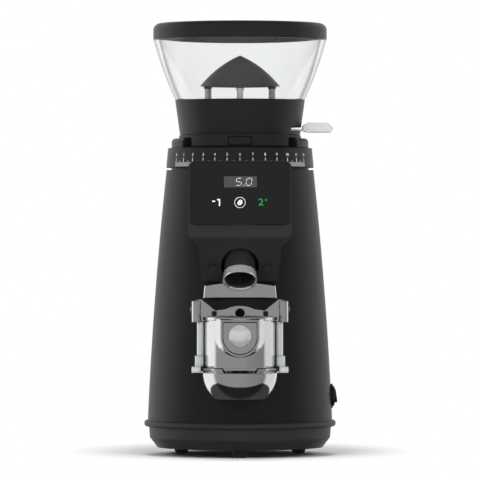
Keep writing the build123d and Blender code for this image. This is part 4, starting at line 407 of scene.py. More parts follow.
@dataclass(frozen=True)
class CoatedGlass(Finish):
    """Glass with a black print behind it."""

    coat_roughness: float = 0.04

    def constants(self) -> dict[str, Any]:
        """Put a clear smooth layer over the dark print, which has no gloss of its own."""
        return {"Specular IOR Level": 0.0, "Coat Weight": 1.0, "Coat Roughness": self.coat_roughness}


@dataclass(frozen=True)
class Layered(Finish):
    """A stack of thin sheets or turns, seen as fine lines across the height."""

    layer_mm: float = 1.6
    layer_rise: float = 0.2
    waver: float = 0.4
    metallic: float = 0.6

    def constants(self) -> dict[str, Any]:
        """Let the lacquer or oxide take part of the metal's shine."""
        return {"Metallic": self.metallic}

    def emboss(self, tree: Tree, shader: Node, place: Socket) -> None:
        """Score the surface once per sheet or turn; the sheets are drawn thicker than real ones to show.

        Args:
            tree: Material's node tree.
            shader: Its principled shader.
            place: Object coordinates.
        """
        values = {"Scale": math.tau * per_metre(self.layer_mm) / WAVE_RATE, "Distortion": self.waver}
        sheets = add_node(tree, "ShaderNodeTexWave", values, {"Vector": place}, bands_direction="Z")
        rise = {"Strength": self.relief, "Distance": self.layer_mm * MM * self.layer_rise}
        bump = add_node(tree, "ShaderNodeBump", rise, {"Height": sheets.outputs["Fac"]})
        tree.links.new(bump.outputs["Normal"], shader.inputs["Normal"])


@dataclass(frozen=True)
class Glow(Finish):
    """A lit segment or mark behind the panel."""

    roughness: float = 0.4
    variation: float = 0.02
    patch_mm: float = 3.0
    grain_mm: float = 0.4
    relief: float = 0.0
    strength: float = 1.0

    def constants(self) -> dict[str, Any]:
        """Light the mark from inside."""
        return {"Emission Color": linear(self.colour), "Emission Strength": self.strength}


# Powder coat on sheet metal and the chamber: satin black with the faint orange peel of a cured coat
POWDER_COAT = Plastic(
    name="powder_coat_black", colour="#131314", roughness=0.44, variation=0.04, patch_mm=60.0,
    grain_mm=1.1, relief=0.04,
)
# Moulded ABS with a spark-eroded texture: a little softer than the coat
ABS_BLACK = Plastic(
    name="abs_black_satin", colour="#1b1b1c", roughness=0.42, variation=0.04, patch_mm=45.0,
    grain_mm=0.8, relief=0.04, edge_mm=1.6,
)
# The same plastic left smooth, for the latch and the rocker: a tighter shine
ABS_SMOOTH = Plastic(
    name="abs_black_smooth", colour="#19191a", roughness=0.3, variation=0.05, patch_mm=25.0,
    grain_mm=0.5, relief=0.03,
)
# Glass-filled plastic of the base, a shade greyer
BASE_PLASTIC = Plastic(
    name="polyamide_dark_grey", colour="#2a2a2b", roughness=0.5, variation=0.04, patch_mm=45.0,
    grain_mm=0.8, relief=0.05,
)
# Black plastic of the head with painted light: a shade lighter than the other mouldings, so that its
# underside doesn't sink into the shadow
HEAD_PAINTED_LIGHTER = Plastic(
    name="head_black_painted_lighter", colour="#272728", roughness=0.42, variation=0.04, patch_mm=45.0,
    grain_mm=0.8, relief=0.04, edge_mm=1.6,
)
# Polypropylene, dark and waxy, for the cone in the hopper
GUARD_PLASTIC = Plastic(
    name="polypropylene_dark", colour="#303031", roughness=0.45, variation=0.05, patch_mm=20.0,
    grain_mm=0.6, relief=0.015,
)
# Acetal rod, grey with a turned sheen
POST_ACETAL = Plastic(
    name="acetal_grey", colour="#c6c7c7", roughness=0.4, variation=0.06, patch_mm=15.0,
    grain_mm=0.5, relief=0.04,
)
# Copolyester, clear and glossy, with faint smears and a painted grey shade along its outline, where light
# crosses more of the wall
BOWL_CLEAR = ClearPlastic(
    name="copolyester_clear", colour="#fbfcfc", roughness=0.02, variation=0.015, patch_mm=50.0,
)
# Toughened glass with a black print behind it: deep black under an even shine
PANEL_GLASS = CoatedGlass(
    name="toughened_glass_black", colour="#121213", roughness=0.16, variation=0.02, patch_mm=80.0,
    grain_mm=2.0, relief=0.0,
)
# Chromed steel, polished to a mirror with faint wiping smears
CHROME = Metal(
    name="chrome_polished", colour="#ebecec", roughness=0.05, variation=0.02, patch_mm=22.0,
    relief=0.0, edge_mm=0.9,
)
# Satin chrome on the frames: paler than the mirror pieces, with bars rounded off more
CHROME_BARS = SatinMetal(
    name="chrome_satin_bars", colour="#e9eced", roughness=0.14, variation=0.02, patch_mm=22.0,
    relief=0.0, edge_mm=4.5, metallic=0.55,
)
# Chromed paddle whose round dome is ground satin, so that the room blurs in it
DOMED_CHROME = DomedMetal(
    name="chrome_satin_dome", colour="#ebecec", roughness=0.05, variation=0.02, patch_mm=22.0,
    relief=0.0, edge_mm=0.9,
)
# Chromed end of the spout, dark inside
PLATED_SPOUT = PlatedSpout(
    name="chrome_on_abs", colour="#ebecec", roughness=0.05, variation=0.02, patch_mm=22.0,
    relief=0.0, edge_mm=0.9,
)
# Aluminium of the gate, bead-blasted to a soft pale grey
SATIN_ALUMINIUM = SatinMetal(
    name="aluminium_satin", colour="#dcdfe1", roughness=0.38, variation=0.05, patch_mm=15.0,
    grain_mm=0.4, relief=0.03, grain=Grain.CAST,
)
# Stainless steel, turned: pins, screws and shafts with fine lines round them
STEEL = Metal(
    name="stainless_turned", colour="#a9abad", roughness=0.28, variation=0.06, patch_mm=8.0,
    grain_mm=0.4, relief=0.06, grain=Grain.BRUSHED,
)
# Blackened steel of the clamp screw: dark with a dull gleam
BLACK_STEEL = Metal(
    name="blackened_steel", colour="#29292a", roughness=0.4, variation=0.06, patch_mm=8.0,
    grain_mm=0.4, relief=0.06, grain=Grain.CAST,
)
# Coated screws of the head, close to the tone of its plastic so that they hardly show
COATED_STEEL = Plastic(
    name="coated_steel_charcoal", colour="#2b2b2c", roughness=0.5, variation=0.05, patch_mm=8.0,
    grain_mm=0.4, relief=0.05,
)
# Die-cast alloy with a sandy skin
CAST_ALLOY = Metal(
    name="die_cast_aluminium", colour="#b4b6b8", roughness=0.42, variation=0.08, patch_mm=14.0,
    grain_mm=0.7, relief=0.25, grain=Grain.CAST,
)
# Hardened burr steel, ground flat: a dull gleam with straight fine lines
BURR_STEEL = Metal(
    name="hardened_steel_ground", colour="#9d9fa2", roughness=0.26, variation=0.06, patch_mm=12.0,
    grain_mm=0.35, relief=0.1, grain=Grain.GROUND,
)
# Stamped core sheets, lightly oxidised
CORE_SHEETS = Layered(
    name="core_sheets", colour="#4b4b4e", roughness=0.5, variation=0.06, patch_mm=10.0,
    grain_mm=0.5, relief=0.3, layer_mm=1.6, metallic=0.7,
)
# Lacquered copper wire, wound in turns
COPPER_TURNS = Layered(
    name="copper_wire_lacquered", colour="#a8602c", roughness=0.35, variation=0.05, patch_mm=10.0,
    grain_mm=0.5, relief=0.5, layer_mm=1.8, metallic=0.8,
)
# Glass-fibre board with a green mask: half glossy and a little uneven
BOARD = Plastic(
    name="board_green_mask", colour="#1f5a34", roughness=0.35, variation=0.05, patch_mm=9.0,
    grain_mm=1.2, relief=0.1,
)
# Painted can of the capacitor: pale and even
LIGHT_CASE = Plastic(
    name="case_light_grey", colour="#cfcfca", roughness=0.45, variation=0.05, patch_mm=18.0,
    grain_mm=0.8, relief=0.05,
)
# Synthetic rubber: dull with a fine tooth
RUBBER = Plastic(
    name="rubber_black", colour="#232323", roughness=0.75, variation=0.06, patch_mm=12.0,
    grain_mm=0.4, relief=0.2,
)
# White pad-printed ink, a touch uneven
INK_WHITE = Plastic(
    name="ink_white", colour="#f0f0ef", roughness=0.5, variation=0.06, patch_mm=2.0, grain_mm=0.3,
    relief=0.08,
)
# Grey pad-printed ink of the dial's band
INK_GREY = Plastic(
    name="ink_grey", colour="#8b8c8c", roughness=0.5, variation=0.06, patch_mm=4.0, grain_mm=0.3,
    relief=0.08,
)
# Smoked film over the display: grey and smooth
DISPLAY_FILM = Plastic(
    name="display_film_smoked", colour="#424344", roughness=0.2, variation=0.03, patch_mm=12.0,
    grain_mm=0.5, relief=0.02,
)
# Lit white marks: bright and even
GLOW_WHITE = Glow(name="lit_mark_white", colour="#eef0f0", strength=0.6)
# Lit digits behind the smoked film, dimmer than the marks
GLOW_DIGITS = Glow(name="lit_digit_grey", colour="#c4c6c6", strength=0.5)
# Lit green mark: deep rather than bright
GLOW_GREEN = Glow(name="lit_mark_green", colour="#00923a", strength=0.25)
# Dark ink of the line inside the icon: nearly the tone of the glass
ICON_DARK = Plastic(
    name="icon_line_dark", colour="#1d1d1e", roughness=0.3, variation=0.03, patch_mm=4.0,
    grain_mm=0.4, relief=0.02,
)

NODE_FINISHES: dict[Finish, tuple[str, ...]] = {
    POWDER_COAT: ("body_shell", "guide_rail", "chamber_housing"),
    BASE_PLASTIC: ("base_tub", "base_flange"),
    ABS_BLACK: (
        "dial_ring", "hopper_seat", "hopper_collar", "hopper_lid", "switch_bezel", "cord_gland",
        "cooling_fan", "paddle_switch",
    ),
    HEAD_PAINTED_LIGHTER: ("front_housing",),
    ABS_SMOOTH: ("hopper_latch", "power_rocker"),
    GUARD_PLASTIC: ("bean_guard",),
    POST_ACETAL: ("guard_posts",),
    BOWL_CLEAR: ("hopper_bowl",),
    PANEL_GLASS: ("touch_panel",),
    CHROME: ("holder_bracket", "holder_cup", "catch_bowl", "rail_cap"),
    CHROME_BARS: ("side_frames",),
    PLATED_SPOUT: ("spout_tip", "grounds_chute"),
    DOMED_CHROME: ("start_paddle",),
    SATIN_ALUMINIUM: ("hopper_gate",),
    STEEL: (
        "foot_screws", "motor_bolts", "motor_shaft", "lower_bearing", "upper_bearing", "chamber_bolts",
        "lower_burr_screws", "burr_nut", "upper_burr_screws", "drive_pins", "seat_screws", "side_pins",
        "paddle_pin", "motor_can",
    ),
    BLACK_STEEL: ("clamp_screw",),
    COATED_STEEL: ("head_screws",),
    CAST_ALLOY: ("motor_frame", "motor_end_plate", "lower_burr_carrier", "upper_burr_carrier"),
    BURR_STEEL: ("lower_burr", "upper_burr"),
    CORE_SHEETS: ("stator_core", "rotor_core"),
    COPPER_TURNS: ("stator_winding",),
    BOARD: ("control_board", "display_board"),
    LIGHT_CASE: ("start_capacitor",),
    RUBBER: ("rubber_feet", "bracket_pads"),
    DISPLAY_FILM: ("display_module",),
}


def object_mode() -> None:
    """Leave edit mode if it is on."""
    if bpy.context.object and bpy.context.object.mode != "OBJECT":
        bpy.ops.object.mode_set(mode="OBJECT")


def edit_all() -> None:
    """Enter edit mode with the active object's whole mesh selected."""
    bpy.ops.object.mode_set(mode="EDIT")
    bpy.ops.mesh.select_all(action="SELECT")


def clear_selection() -> None:
    """Deselect every object."""
    object_mode()
    bpy.ops.object.select_all(action="DESELECT")


def take(*pieces: Piece) -> None:
    """Select these objects alone and make the first one active.

    Args:
        *pieces: Objects to select.
    """
    clear_selection()
    for piece in pieces:
        piece.select_set(True)
    bpy.context.view_layer.objects.active = pieces[0]


def settle(piece: Piece) -> Piece:
    """Apply a piece's place, turn and scale to its mesh.

    Args:
        piece: The piece.

    Returns:
        The same piece, with its object at the origin.
    """
    take(piece)
    bpy.ops.object.transform_apply(location=True, rotation=True, scale=True)
    return piece


def thicken(piece: Piece, depth: float) -> Piece:
    """Give a flat face a thickness towards its own front.

    Args:
        piece: Flat mesh in the XY plane.
        depth: Thickness in metres.

    Returns:
        The same piece, closed and facing outwards.
    """
    take(piece)
    edit_all()
    bpy.ops.mesh.extrude_region_move(TRANSFORM_OT_translate={"value": (0, 0, depth)})
    bpy.ops.mesh.select_all(action="SELECT")
    bpy.ops.mesh.normals_make_consistent(inside=False)
    object_mode()
    return piece


def rounded_plate(width: float, height: float, corner: float, depth: float) -> Piece:
    """Model a thin plate with rounded corners in the XY plane.

    Args:
        width: Size along X in metres.
        height: Size along Y in metres.
        corner: Corner radius in metres.
        depth: Thickness in metres.

    Returns:
        The plate, centred on the origin.
    """
    clear_selection()
    bpy.ops.mesh.primitive_plane_add(size=1)
    plate = bpy.context.object
    plate.scale = (width, height, 1)
    settle(plate)
    edit_all()
    bpy.ops.mesh.bevel(offset=corner, segments=CORNER_SEGMENTS, affect="VERTICES")
    object_mode()
    return thicken(plate, depth)


def flat_ring(outer: float, width: float, depth: float) -> Piece:
    """Model a thin flat ring in the XY plane.

    Args:
        outer: Outer radius in metres.
        width: Radial width in metres.
        depth: Thickness in metres.

    Returns:
        The ring, centred on the origin.
    """
    clear_selection()
    bpy.ops.mesh.primitive_circle_add(vertices=RING_SIDES, radius=outer, fill_type="NGON")
    ring = bpy.context.object
    edit_all()
    bpy.ops.mesh.inset(thickness=width, depth=0)
    bpy.ops.mesh.delete(type="FACE")
    object_mode()
    return thicken(ring, depth)


def lettering(text: str, height: float, depth: float) -> Piece:
    """Set a short generic mark as a mesh in the XY plane.

    Args:
        text: The mark.
        height: Height of its figures in metres.
        depth: Thickness in metres.

    Returns:
        The mark as a mesh, centred on the origin.
    """
    clear_selection()
    bpy.ops.object.text_add()
    mark = bpy.context.object
    mark.data.body = text
    mark.data.size = height * FIGURE_SCALE
    mark.data.align_x = "CENTER"
    mark.data.align_y = "CENTER"
    mark.data.extrude = depth / 2
    bpy.ops.object.convert(target="MESH")
    return bpy.context.object


def copy_of(piece: Piece, place: Matrix) -> Piece:
    """Copy a piece with its own mesh, set down by a matrix.

    Args:
        piece: Pattern piece.
        place: Matrix from the pattern to the copy.

    Returns:
        The copy.
    """
    twin = piece.copy()
    twin.data = piece.data.copy()
    bpy.context.scene.collection.objects.link(twin)
    twin.data.transform(place)
    return twin


def joined(pieces: Sequence[Piece], name: str) -> Piece:
    """Join pieces into one object with a name.

    Args:
        pieces: Pieces to join.
        name: Name of the whole.

    Returns:
        The whole.
    """
    take(*pieces)
    if len(pieces) > 1:
        bpy.ops.object.join()
    whole = bpy.context.object
    whole.name = name
    whole.data.name = name
    return whole


def dress(piece: Piece, finish: Finish, body: Body) -> None:
    """Give a new piece its finish and the body that it rides on.

    Args:
        piece: The piece.
        finish: Its finish.
        body: Moving group that carries it.
    """
    piece.data.materials.clear()
    piece.data.materials.append(finish.make())
    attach(piece, body.value)
    LOG.info("piece %s on %s", piece.name, body.value)


def drop(piece: Piece) -> None:
    """Remove a pattern piece once its copies are made."""
    bpy.data.objects.remove(piece)


@dataclass
class DialPrint:
    """Numbers, ticks, half-step dots and the band printed on the dial's skirt."""

    bottom_radius: float = 84.8 * MM
    top_radius: float = 82.7 * MM
    bottom: float = 329.5 * MM
    top: float = 352.3 * MM
    step_degrees: float = 10.0
    last: int = 12
    figure_height: float = 3.3 * MM
    figure_level: float = 344.0 * MM
    figure_depth: float = 0.16 * MM  # half of it lies under the skirt
    tick_width: float = 0.7 * MM
    tick_height: float = 4.6 * MM
    tick_corner: float = 0.3
    tick_level: float = 338.2 * MM
    dot_radius: float = 0.5 * MM
    dot_corner: float = 0.9
    dot_level: float = 336.9 * MM
    half_step: float = 0.5
    band_low: float = 330.8 * MM
    band_high: float = 335.6 * MM
    band_sides: int = 180
    band_overrun_degrees: float = 1.0
    ink: float = 0.08 * MM

    def radius(self, level: float) -> float:
        """Radius of the skirt at a height."""
        share = (level - self.bottom) / (self.top - self.bottom)
        return self.bottom_radius + (self.top_radius - self.bottom_radius) * share

    def place(self, degrees: float, level: float) -> Matrix:
        """Matrix that lays a flat mark on the skirt.

        Args:
            degrees: Turn from the front, positive to the right.
            level: Height in metres.

        Returns:
            The matrix from the XY plane to the skirt.
        """
        draft = math.atan2(self.bottom_radius - self.top_radius, self.top - self.bottom)
        turn = Matrix.Rotation(math.radians(degrees), 4, "Z")
        out = Matrix.Translation((0, -self.radius(level), level))
        return turn @ out @ Matrix.Rotation(math.pi / 2 - draft, 4, "X")

    def angle(self, number: float) -> float:
        """Turn of a number from the front."""
        return (number - self.last / 2) * self.step_degrees

    def numbers(self) -> Piece:
        """Set the numbers round the skirt.

        Returns:
            All the numbers as one piece.
        """
        marks = []
        for number in range(self.last + 1):
            mark = lettering(str(number), self.figure_height, self.figure_depth)
            mark.data.transform(self.place(self.angle(number), self.figure_level))
            marks.append(mark)
        return joined(marks, "dial_numbers")

    def ticks(self) -> Piece:
        """Print one tick under each number.

        Returns:
            All the ticks as one piece.
        """
        corner = self.tick_width * self.tick_corner
        tick = rounded_plate(self.tick_width, self.tick_height, corner, self.ink)
        marks = [copy_of(tick, self.place(self.angle(n), self.tick_level)) for n in range(self.last + 1)]
        drop(tick)
        return joined(marks, "dial_ticks")

    def dots(self) -> Piece:
        """Print a dot at each half step.

        Returns:
            All the dots as one piece.
        """
        size = 2 * self.dot_radius
        dot = rounded_plate(size, size, self.dot_radius * self.dot_corner, self.ink)
        turns = [self.angle(n + self.half_step) for n in range(self.last)]
        marks = [copy_of(dot, self.place(turn, self.dot_level)) for turn in turns]
        drop(dot)
        return joined(marks, "dial_dots")

    def band(self) -> Piece:
        """Print the band along the bottom of the scale, from the first number to the last.

        Returns:
            The band, a thin closed strip.
        """
        low = self.radius(self.band_low) + self.ink
        high = self.radius(self.band_high) + self.ink
        clear_selection()
        bpy.ops.mesh.primitive_circle_add(vertices=self.band_sides, radius=low)
        strip = bpy.context.object
        strip.location.z = self.band_low
        settle(strip)
        edit_all()
        bpy.ops.mesh.extrude_region_move(
            TRANSFORM_OT_translate={"value": (0, 0, self.band_high - self.band_low)}
        )
        shrink = high / low
        bpy.ops.transform.resize(value=(shrink, shrink, 1), center_override=(0, 0, self.band_high))
        reach = math.radians(self.angle(self.last) + self.band_overrun_degrees)
        for way in (-1, 1):
            bpy.ops.mesh.select_all(action="SELECT")
            bpy.ops.mesh.bisect(
                plane_co=(0, 0, 0),
                plane_no=(way * math.cos(reach), math.sin(reach), 0),
                clear_outer=True,
            )
        object_mode()
        bpy.ops.object.modifier_add(type="SOLIDIFY")
        layer = strip.modifiers[-1]
        layer.thickness = self.ink
        layer.offset = 1.0  # along the normals, which face the axis
        bpy.ops.object.modifier_apply(modifier=layer.name)
        return joined([strip], "dial_band")

    def build(self) -> None:
        """Model the print and dress it."""
        for piece in (self.numbers(), self.ticks(), self.dots()):
            dress(piece, INK_WHITE, Body.DIAL)
        dress(self.band(), INK_GREY, Body.DIAL)


@dataclass
class PanelMarks:
    """Display window, lit digits and touch marks on the glass panel."""

    face: float = -134.0 * MM
    film_width: float = 37.0 * MM
    film_height: float = 12.5 * MM
    film_corner: float = 0.8 * MM
    film_x: float = 0.5 * MM
    film_level: float = 312.6 * MM
    film_depth: float = 0.06 * MM
    digit_width: float = 5.8 * MM
    digit_height: float = 8.0 * MM
    digit_pitch: float = 11.4 * MM
    digits_x: float = 4.4 * MM
    segment: float = 0.95 * MM
    segment_sides: int = 6
    segment_reach: float = 1.06
    slant_degrees: float = 9.0
    point_corner: float = 0.3
    mark_level: float = 289.4 * MM
    mark_height: float = 7.6 * MM
    stroke: float = 1.25 * MM
    stroke_corner: float = 0.15
    thin_share: float = 0.9
    one_x: float = -23.0 * MM
    flag_length: float = 2.6 * MM
    dash_x: float = -29.6 * MM
    dash_level: float = 290.8 * MM
    dash_length: float = 3.2 * MM
    right_x: float = 23.4 * MM
    right_stretch: float = 1.3
    plus_x: float = 29.4 * MM
    plus_level: float = 291.8 * MM
    plus_share: float = 0.6
    icon_radius: float = 6.1 * MM
    icon_line: float = 0.38 * MM
    bean_share: float = 0.52
    bean_slimness: float = 0.72
    bean_sides: int = 40
    bean_degrees: float = -35.0
    crease_line: float = 0.9 * MM
    crease_share: float = 0.9
    crease_corner: float = 0.3
    crease_degrees: float = -25.0
    print_depth: float = 0.05 * MM

    def place(self, x: float, level: float, proud: float = 0.0) -> Matrix:
        """Matrix that lays a flat mark on the glass.

        Args:
            x: Distance to the right of the middle.
            level: Height in metres.
            proud: Distance in front of the glass.

        Returns:
            The matrix from the XY plane to the glass.
        """
        return Matrix.Translation((x, self.face - proud, level)) @ Matrix.Rotation(math.pi / 2, 4, "X")

    def bar(self, length: float, upright: bool) -> Piece:
        """Model one pointed bar of a digit.

        Args:
            length: Length between its points.
            upright: Whether it stands along Y.

        Returns:
            The bar, centred on the origin.
        """
        clear_selection()
        bpy.ops.mesh.primitive_circle_add(
            vertices=self.segment_sides, radius=self.segment / 2, fill_type="NGON"
        )
        bar = bpy.context.object
        stretch = length / 2 - self.segment / 2
        for vertex in bar.data.vertices:
            if abs(vertex.co.y) > abs(vertex.co.x):
                vertex.co.y += math.copysign(stretch, vertex.co.y)
        if not upright:
            bar.rotation_euler.z = math.pi / 2
        settle(bar)
        return thicken(bar, self.print_depth)

    def digit(self, lit: str) -> Piece:
        """Model one digit from its lit bars.

        Args:
            lit: Letters of the lit bars, a to g.

        Returns:
            The digit, centred on the origin and slanted.
        """
        half, quarter = self.digit_height / 2, self.digit_height / 4
        side = self.digit_width / 2
        spots = {
            "a": (0, half, False), "b": (side, quarter, True), "c": (side, -quarter, True),
            "d": (0, -half, False), "e": (-side, -quarter, True), "f": (-side, quarter, True),
            "g": (0, 0, False),
        }
        bars = []
        for letter in lit:
            x, y, upright = spots[letter]
            length = half if upright else self.digit_width
            bar = self.bar(length * self.segment_reach, upright)
            bar.data.transform(Matrix.Translation((x, y, 0)))
            bars.append(bar)
        whole = joined(bars, "digit")
        slant = Matrix.Identity(4)
        slant[0][1] = math.tan(math.radians(self.slant_degrees))
        whole.data.transform(slant)
        return whole

    def reading(self) -> Piece:
        """Set the lit reading: a whole digit, a point and a tenth.

        Returns:
            The reading as one piece.
        """
        start = self.digits_x - self.digit_pitch / 2
        end = self.digits_x + self.digit_pitch / 2
        first = self.digit("afgcd")
        first.data.transform(self.place(start, self.film_level, self.film_depth))
        last = self.digit("abcdef")
        last.data.transform(self.place(end, self.film_level, self.film_depth))
        corner = self.segment * self.point_corner
        point = rounded_plate(self.segment, self.segment, corner, self.print_depth)
        low = self.film_level - self.digit_height / 2
        point.data.transform(self.place(self.digits_x - corner, low, self.film_depth))
        return joined([first, last, point], "display_reading")

    def film(self) -> Piece:
        """Lay the smoked film over the display.

        Returns:
            The film.
        """
        film = rounded_plate(self.film_width, self.film_height, self.film_corner, self.film_depth)
        film.data.transform(self.place(self.film_x, self.film_level))
        return joined([film], "display_window")

    def dose_marks(self) -> tuple[Piece, Piece]:
        """Set the two dose marks, plain on the left and lit green on the right.

        Returns:
            The left mark and the right mark.
        """
        corner = self.stroke * self.stroke_corner
        thin = self.stroke * self.thin_share
        one = rounded_plate(self.stroke, self.mark_height, corner, self.print_depth)
        one.data.transform(self.place(self.one_x, self.mark_level))
        flag = rounded_plate(self.flag_length, thin, corner, self.print_depth)
        top = self.mark_level + (self.mark_height - thin) / 2
        flag.data.transform(self.place(self.one_x - self.flag_length / 2, top))
        dash = rounded_plate(self.dash_length, thin, corner, self.print_depth)
        dash.data.transform(self.place(self.dash_x, self.dash_level))
        right = lettering("2", self.mark_height, self.print_depth)
        right.data.transform(Matrix.Diagonal((self.right_stretch, 1, 1, 1)))
        right.data.transform(self.place(self.right_x, self.mark_level))
        plus = lettering("+", self.mark_height * self.plus_share, self.print_depth)
        plus.data.transform(self.place(self.plus_x, self.plus_level))
        return joined([one, flag, dash], "mark_one_dose"), joined([right, plus], "mark_two_doses")

    def icon(self) -> tuple[Piece, Piece]:
        """Model the ring icon with a bean in it and the bean's dark crease.

        Returns:
            The ring with the bean, and the crease.
        """
        ring = flat_ring(self.icon_radius, self.icon_line, self.print_depth)
        clear_selection()
        bean_radius = self.icon_radius * self.bean_share
        bpy.ops.mesh.primitive_circle_add(vertices=self.bean_sides, radius=bean_radius, fill_type="NGON")
        bean = bpy.context.object
        bean.scale = (self.bean_slimness, 1.0, 1.0)
        bean.rotation_euler.z = math.radians(self.bean_degrees)
        settle(bean)
        thicken(bean, self.print_depth)
        length, corner = self.icon_radius * self.crease_share, self.icon_line * self.crease_corner
        crease = rounded_plate(self.crease_line, length, corner, self.print_depth)
        crease.rotation_euler.z = math.radians(self.crease_degrees)
        settle(crease)
        for piece, proud in ((ring, 0.0), (bean, 0.0), (crease, self.print_depth)):
            piece.data.transform(self.place(0, self.mark_level, proud))
        return joined([ring, bean], "mark_start"), joined([crease], "mark_start_crease")

    def build(self) -> None:
        """Model the marks and dress them."""
        dress(self.film(), DISPLAY_FILM, Body.STAND)
        dress(self.reading(), GLOW_DIGITS, Body.STAND)
        one, two = self.dose_marks()
        dress(one, GLOW_WHITE, Body.STAND)
        dress(two, GLOW_GREEN, Body.STAND)
        start, crease = self.icon()
        dress(start, GLOW_WHITE, Body.STAND)
        dress(crease, ICON_DARK, Body.STAND)


@dataclass
class RockerMarks:
    """The two printed marks on the power rocker."""

    pivot: Vector = field(default_factory=lambda: Vector((105.6 * MM, 0, 67.5 * MM)))
    rise: float = 5.4 * MM
    tilt_degrees: float = 8.0
    spread: float = 4.2 * MM
    mark: float = 3.0 * MM
    line: float = 0.6 * MM
    line_corner: float = 0.3
    depth: float = 0.08 * MM

    def build(self) -> None:
        """Print a ring and a bar on the rocker's face."""
        face = (
            Matrix.Translation(self.pivot)
            @ Matrix.Rotation(-math.radians(self.tilt_degrees), 4, "Y")
            @ Matrix.Translation((self.rise, 0, 0))
            @ Matrix.Rotation(math.pi / 2, 4, "Y")
            @ Matrix.Rotation(math.pi / 2, 4, "Z")
        )
        ring = flat_ring(self.mark / 2, self.line, self.depth)
        ring.data.transform(face @ Matrix.Translation((0, -self.spread, 0)))
        bar = rounded_plate(self.line, self.mark, self.line * self.line_corner, self.depth)
        bar.data.transform(face @ Matrix.Translation((0, self.spread, 0)))
        dress(joined([ring, bar], "rocker_marks"), INK_WHITE, Body.ROCKER)


@dataclass(frozen=True)
class Lamp:
    """A soft square lamp, in metres and watts, that polished pieces don't show."""

    name: str
    place: Point
    size: float
    power: float
    aim: Point = (0, 0, 0.25)

    def hang(self) -> None:
        """Hang the lamp and turn it to its aim."""
        data = bpy.data.lights.new(self.name, "AREA")
        data.size = self.size
        data.energy = self.power
        lamp = bpy.data.objects.new(self.name, data)
        lamp.location = self.place
        toward = Vector(self.aim) - Vector(self.place)
        lamp.rotation_euler = toward.to_track_quat("-Z", "Y").to_euler()
        lamp.visible_glossy = False
        bpy.context.scene.collection.objects.link(lamp)


LAMPS = (
    Lamp(name="key_left", place=(-1.7, -2.1, 1.2), size=1.2, power=30.0),
    Lamp(name="key_right", place=(1.7, -2.1, 1.2), size=1.2, power=25.0),
    Lamp(name="top", place=(0, -0.4, 2.4), size=1.6, power=32.0),
    Lamp(name="fill_low", place=(0, -2.4, 0.3), size=0.8, power=9.0, aim=(0, 0, 0.24)),
)


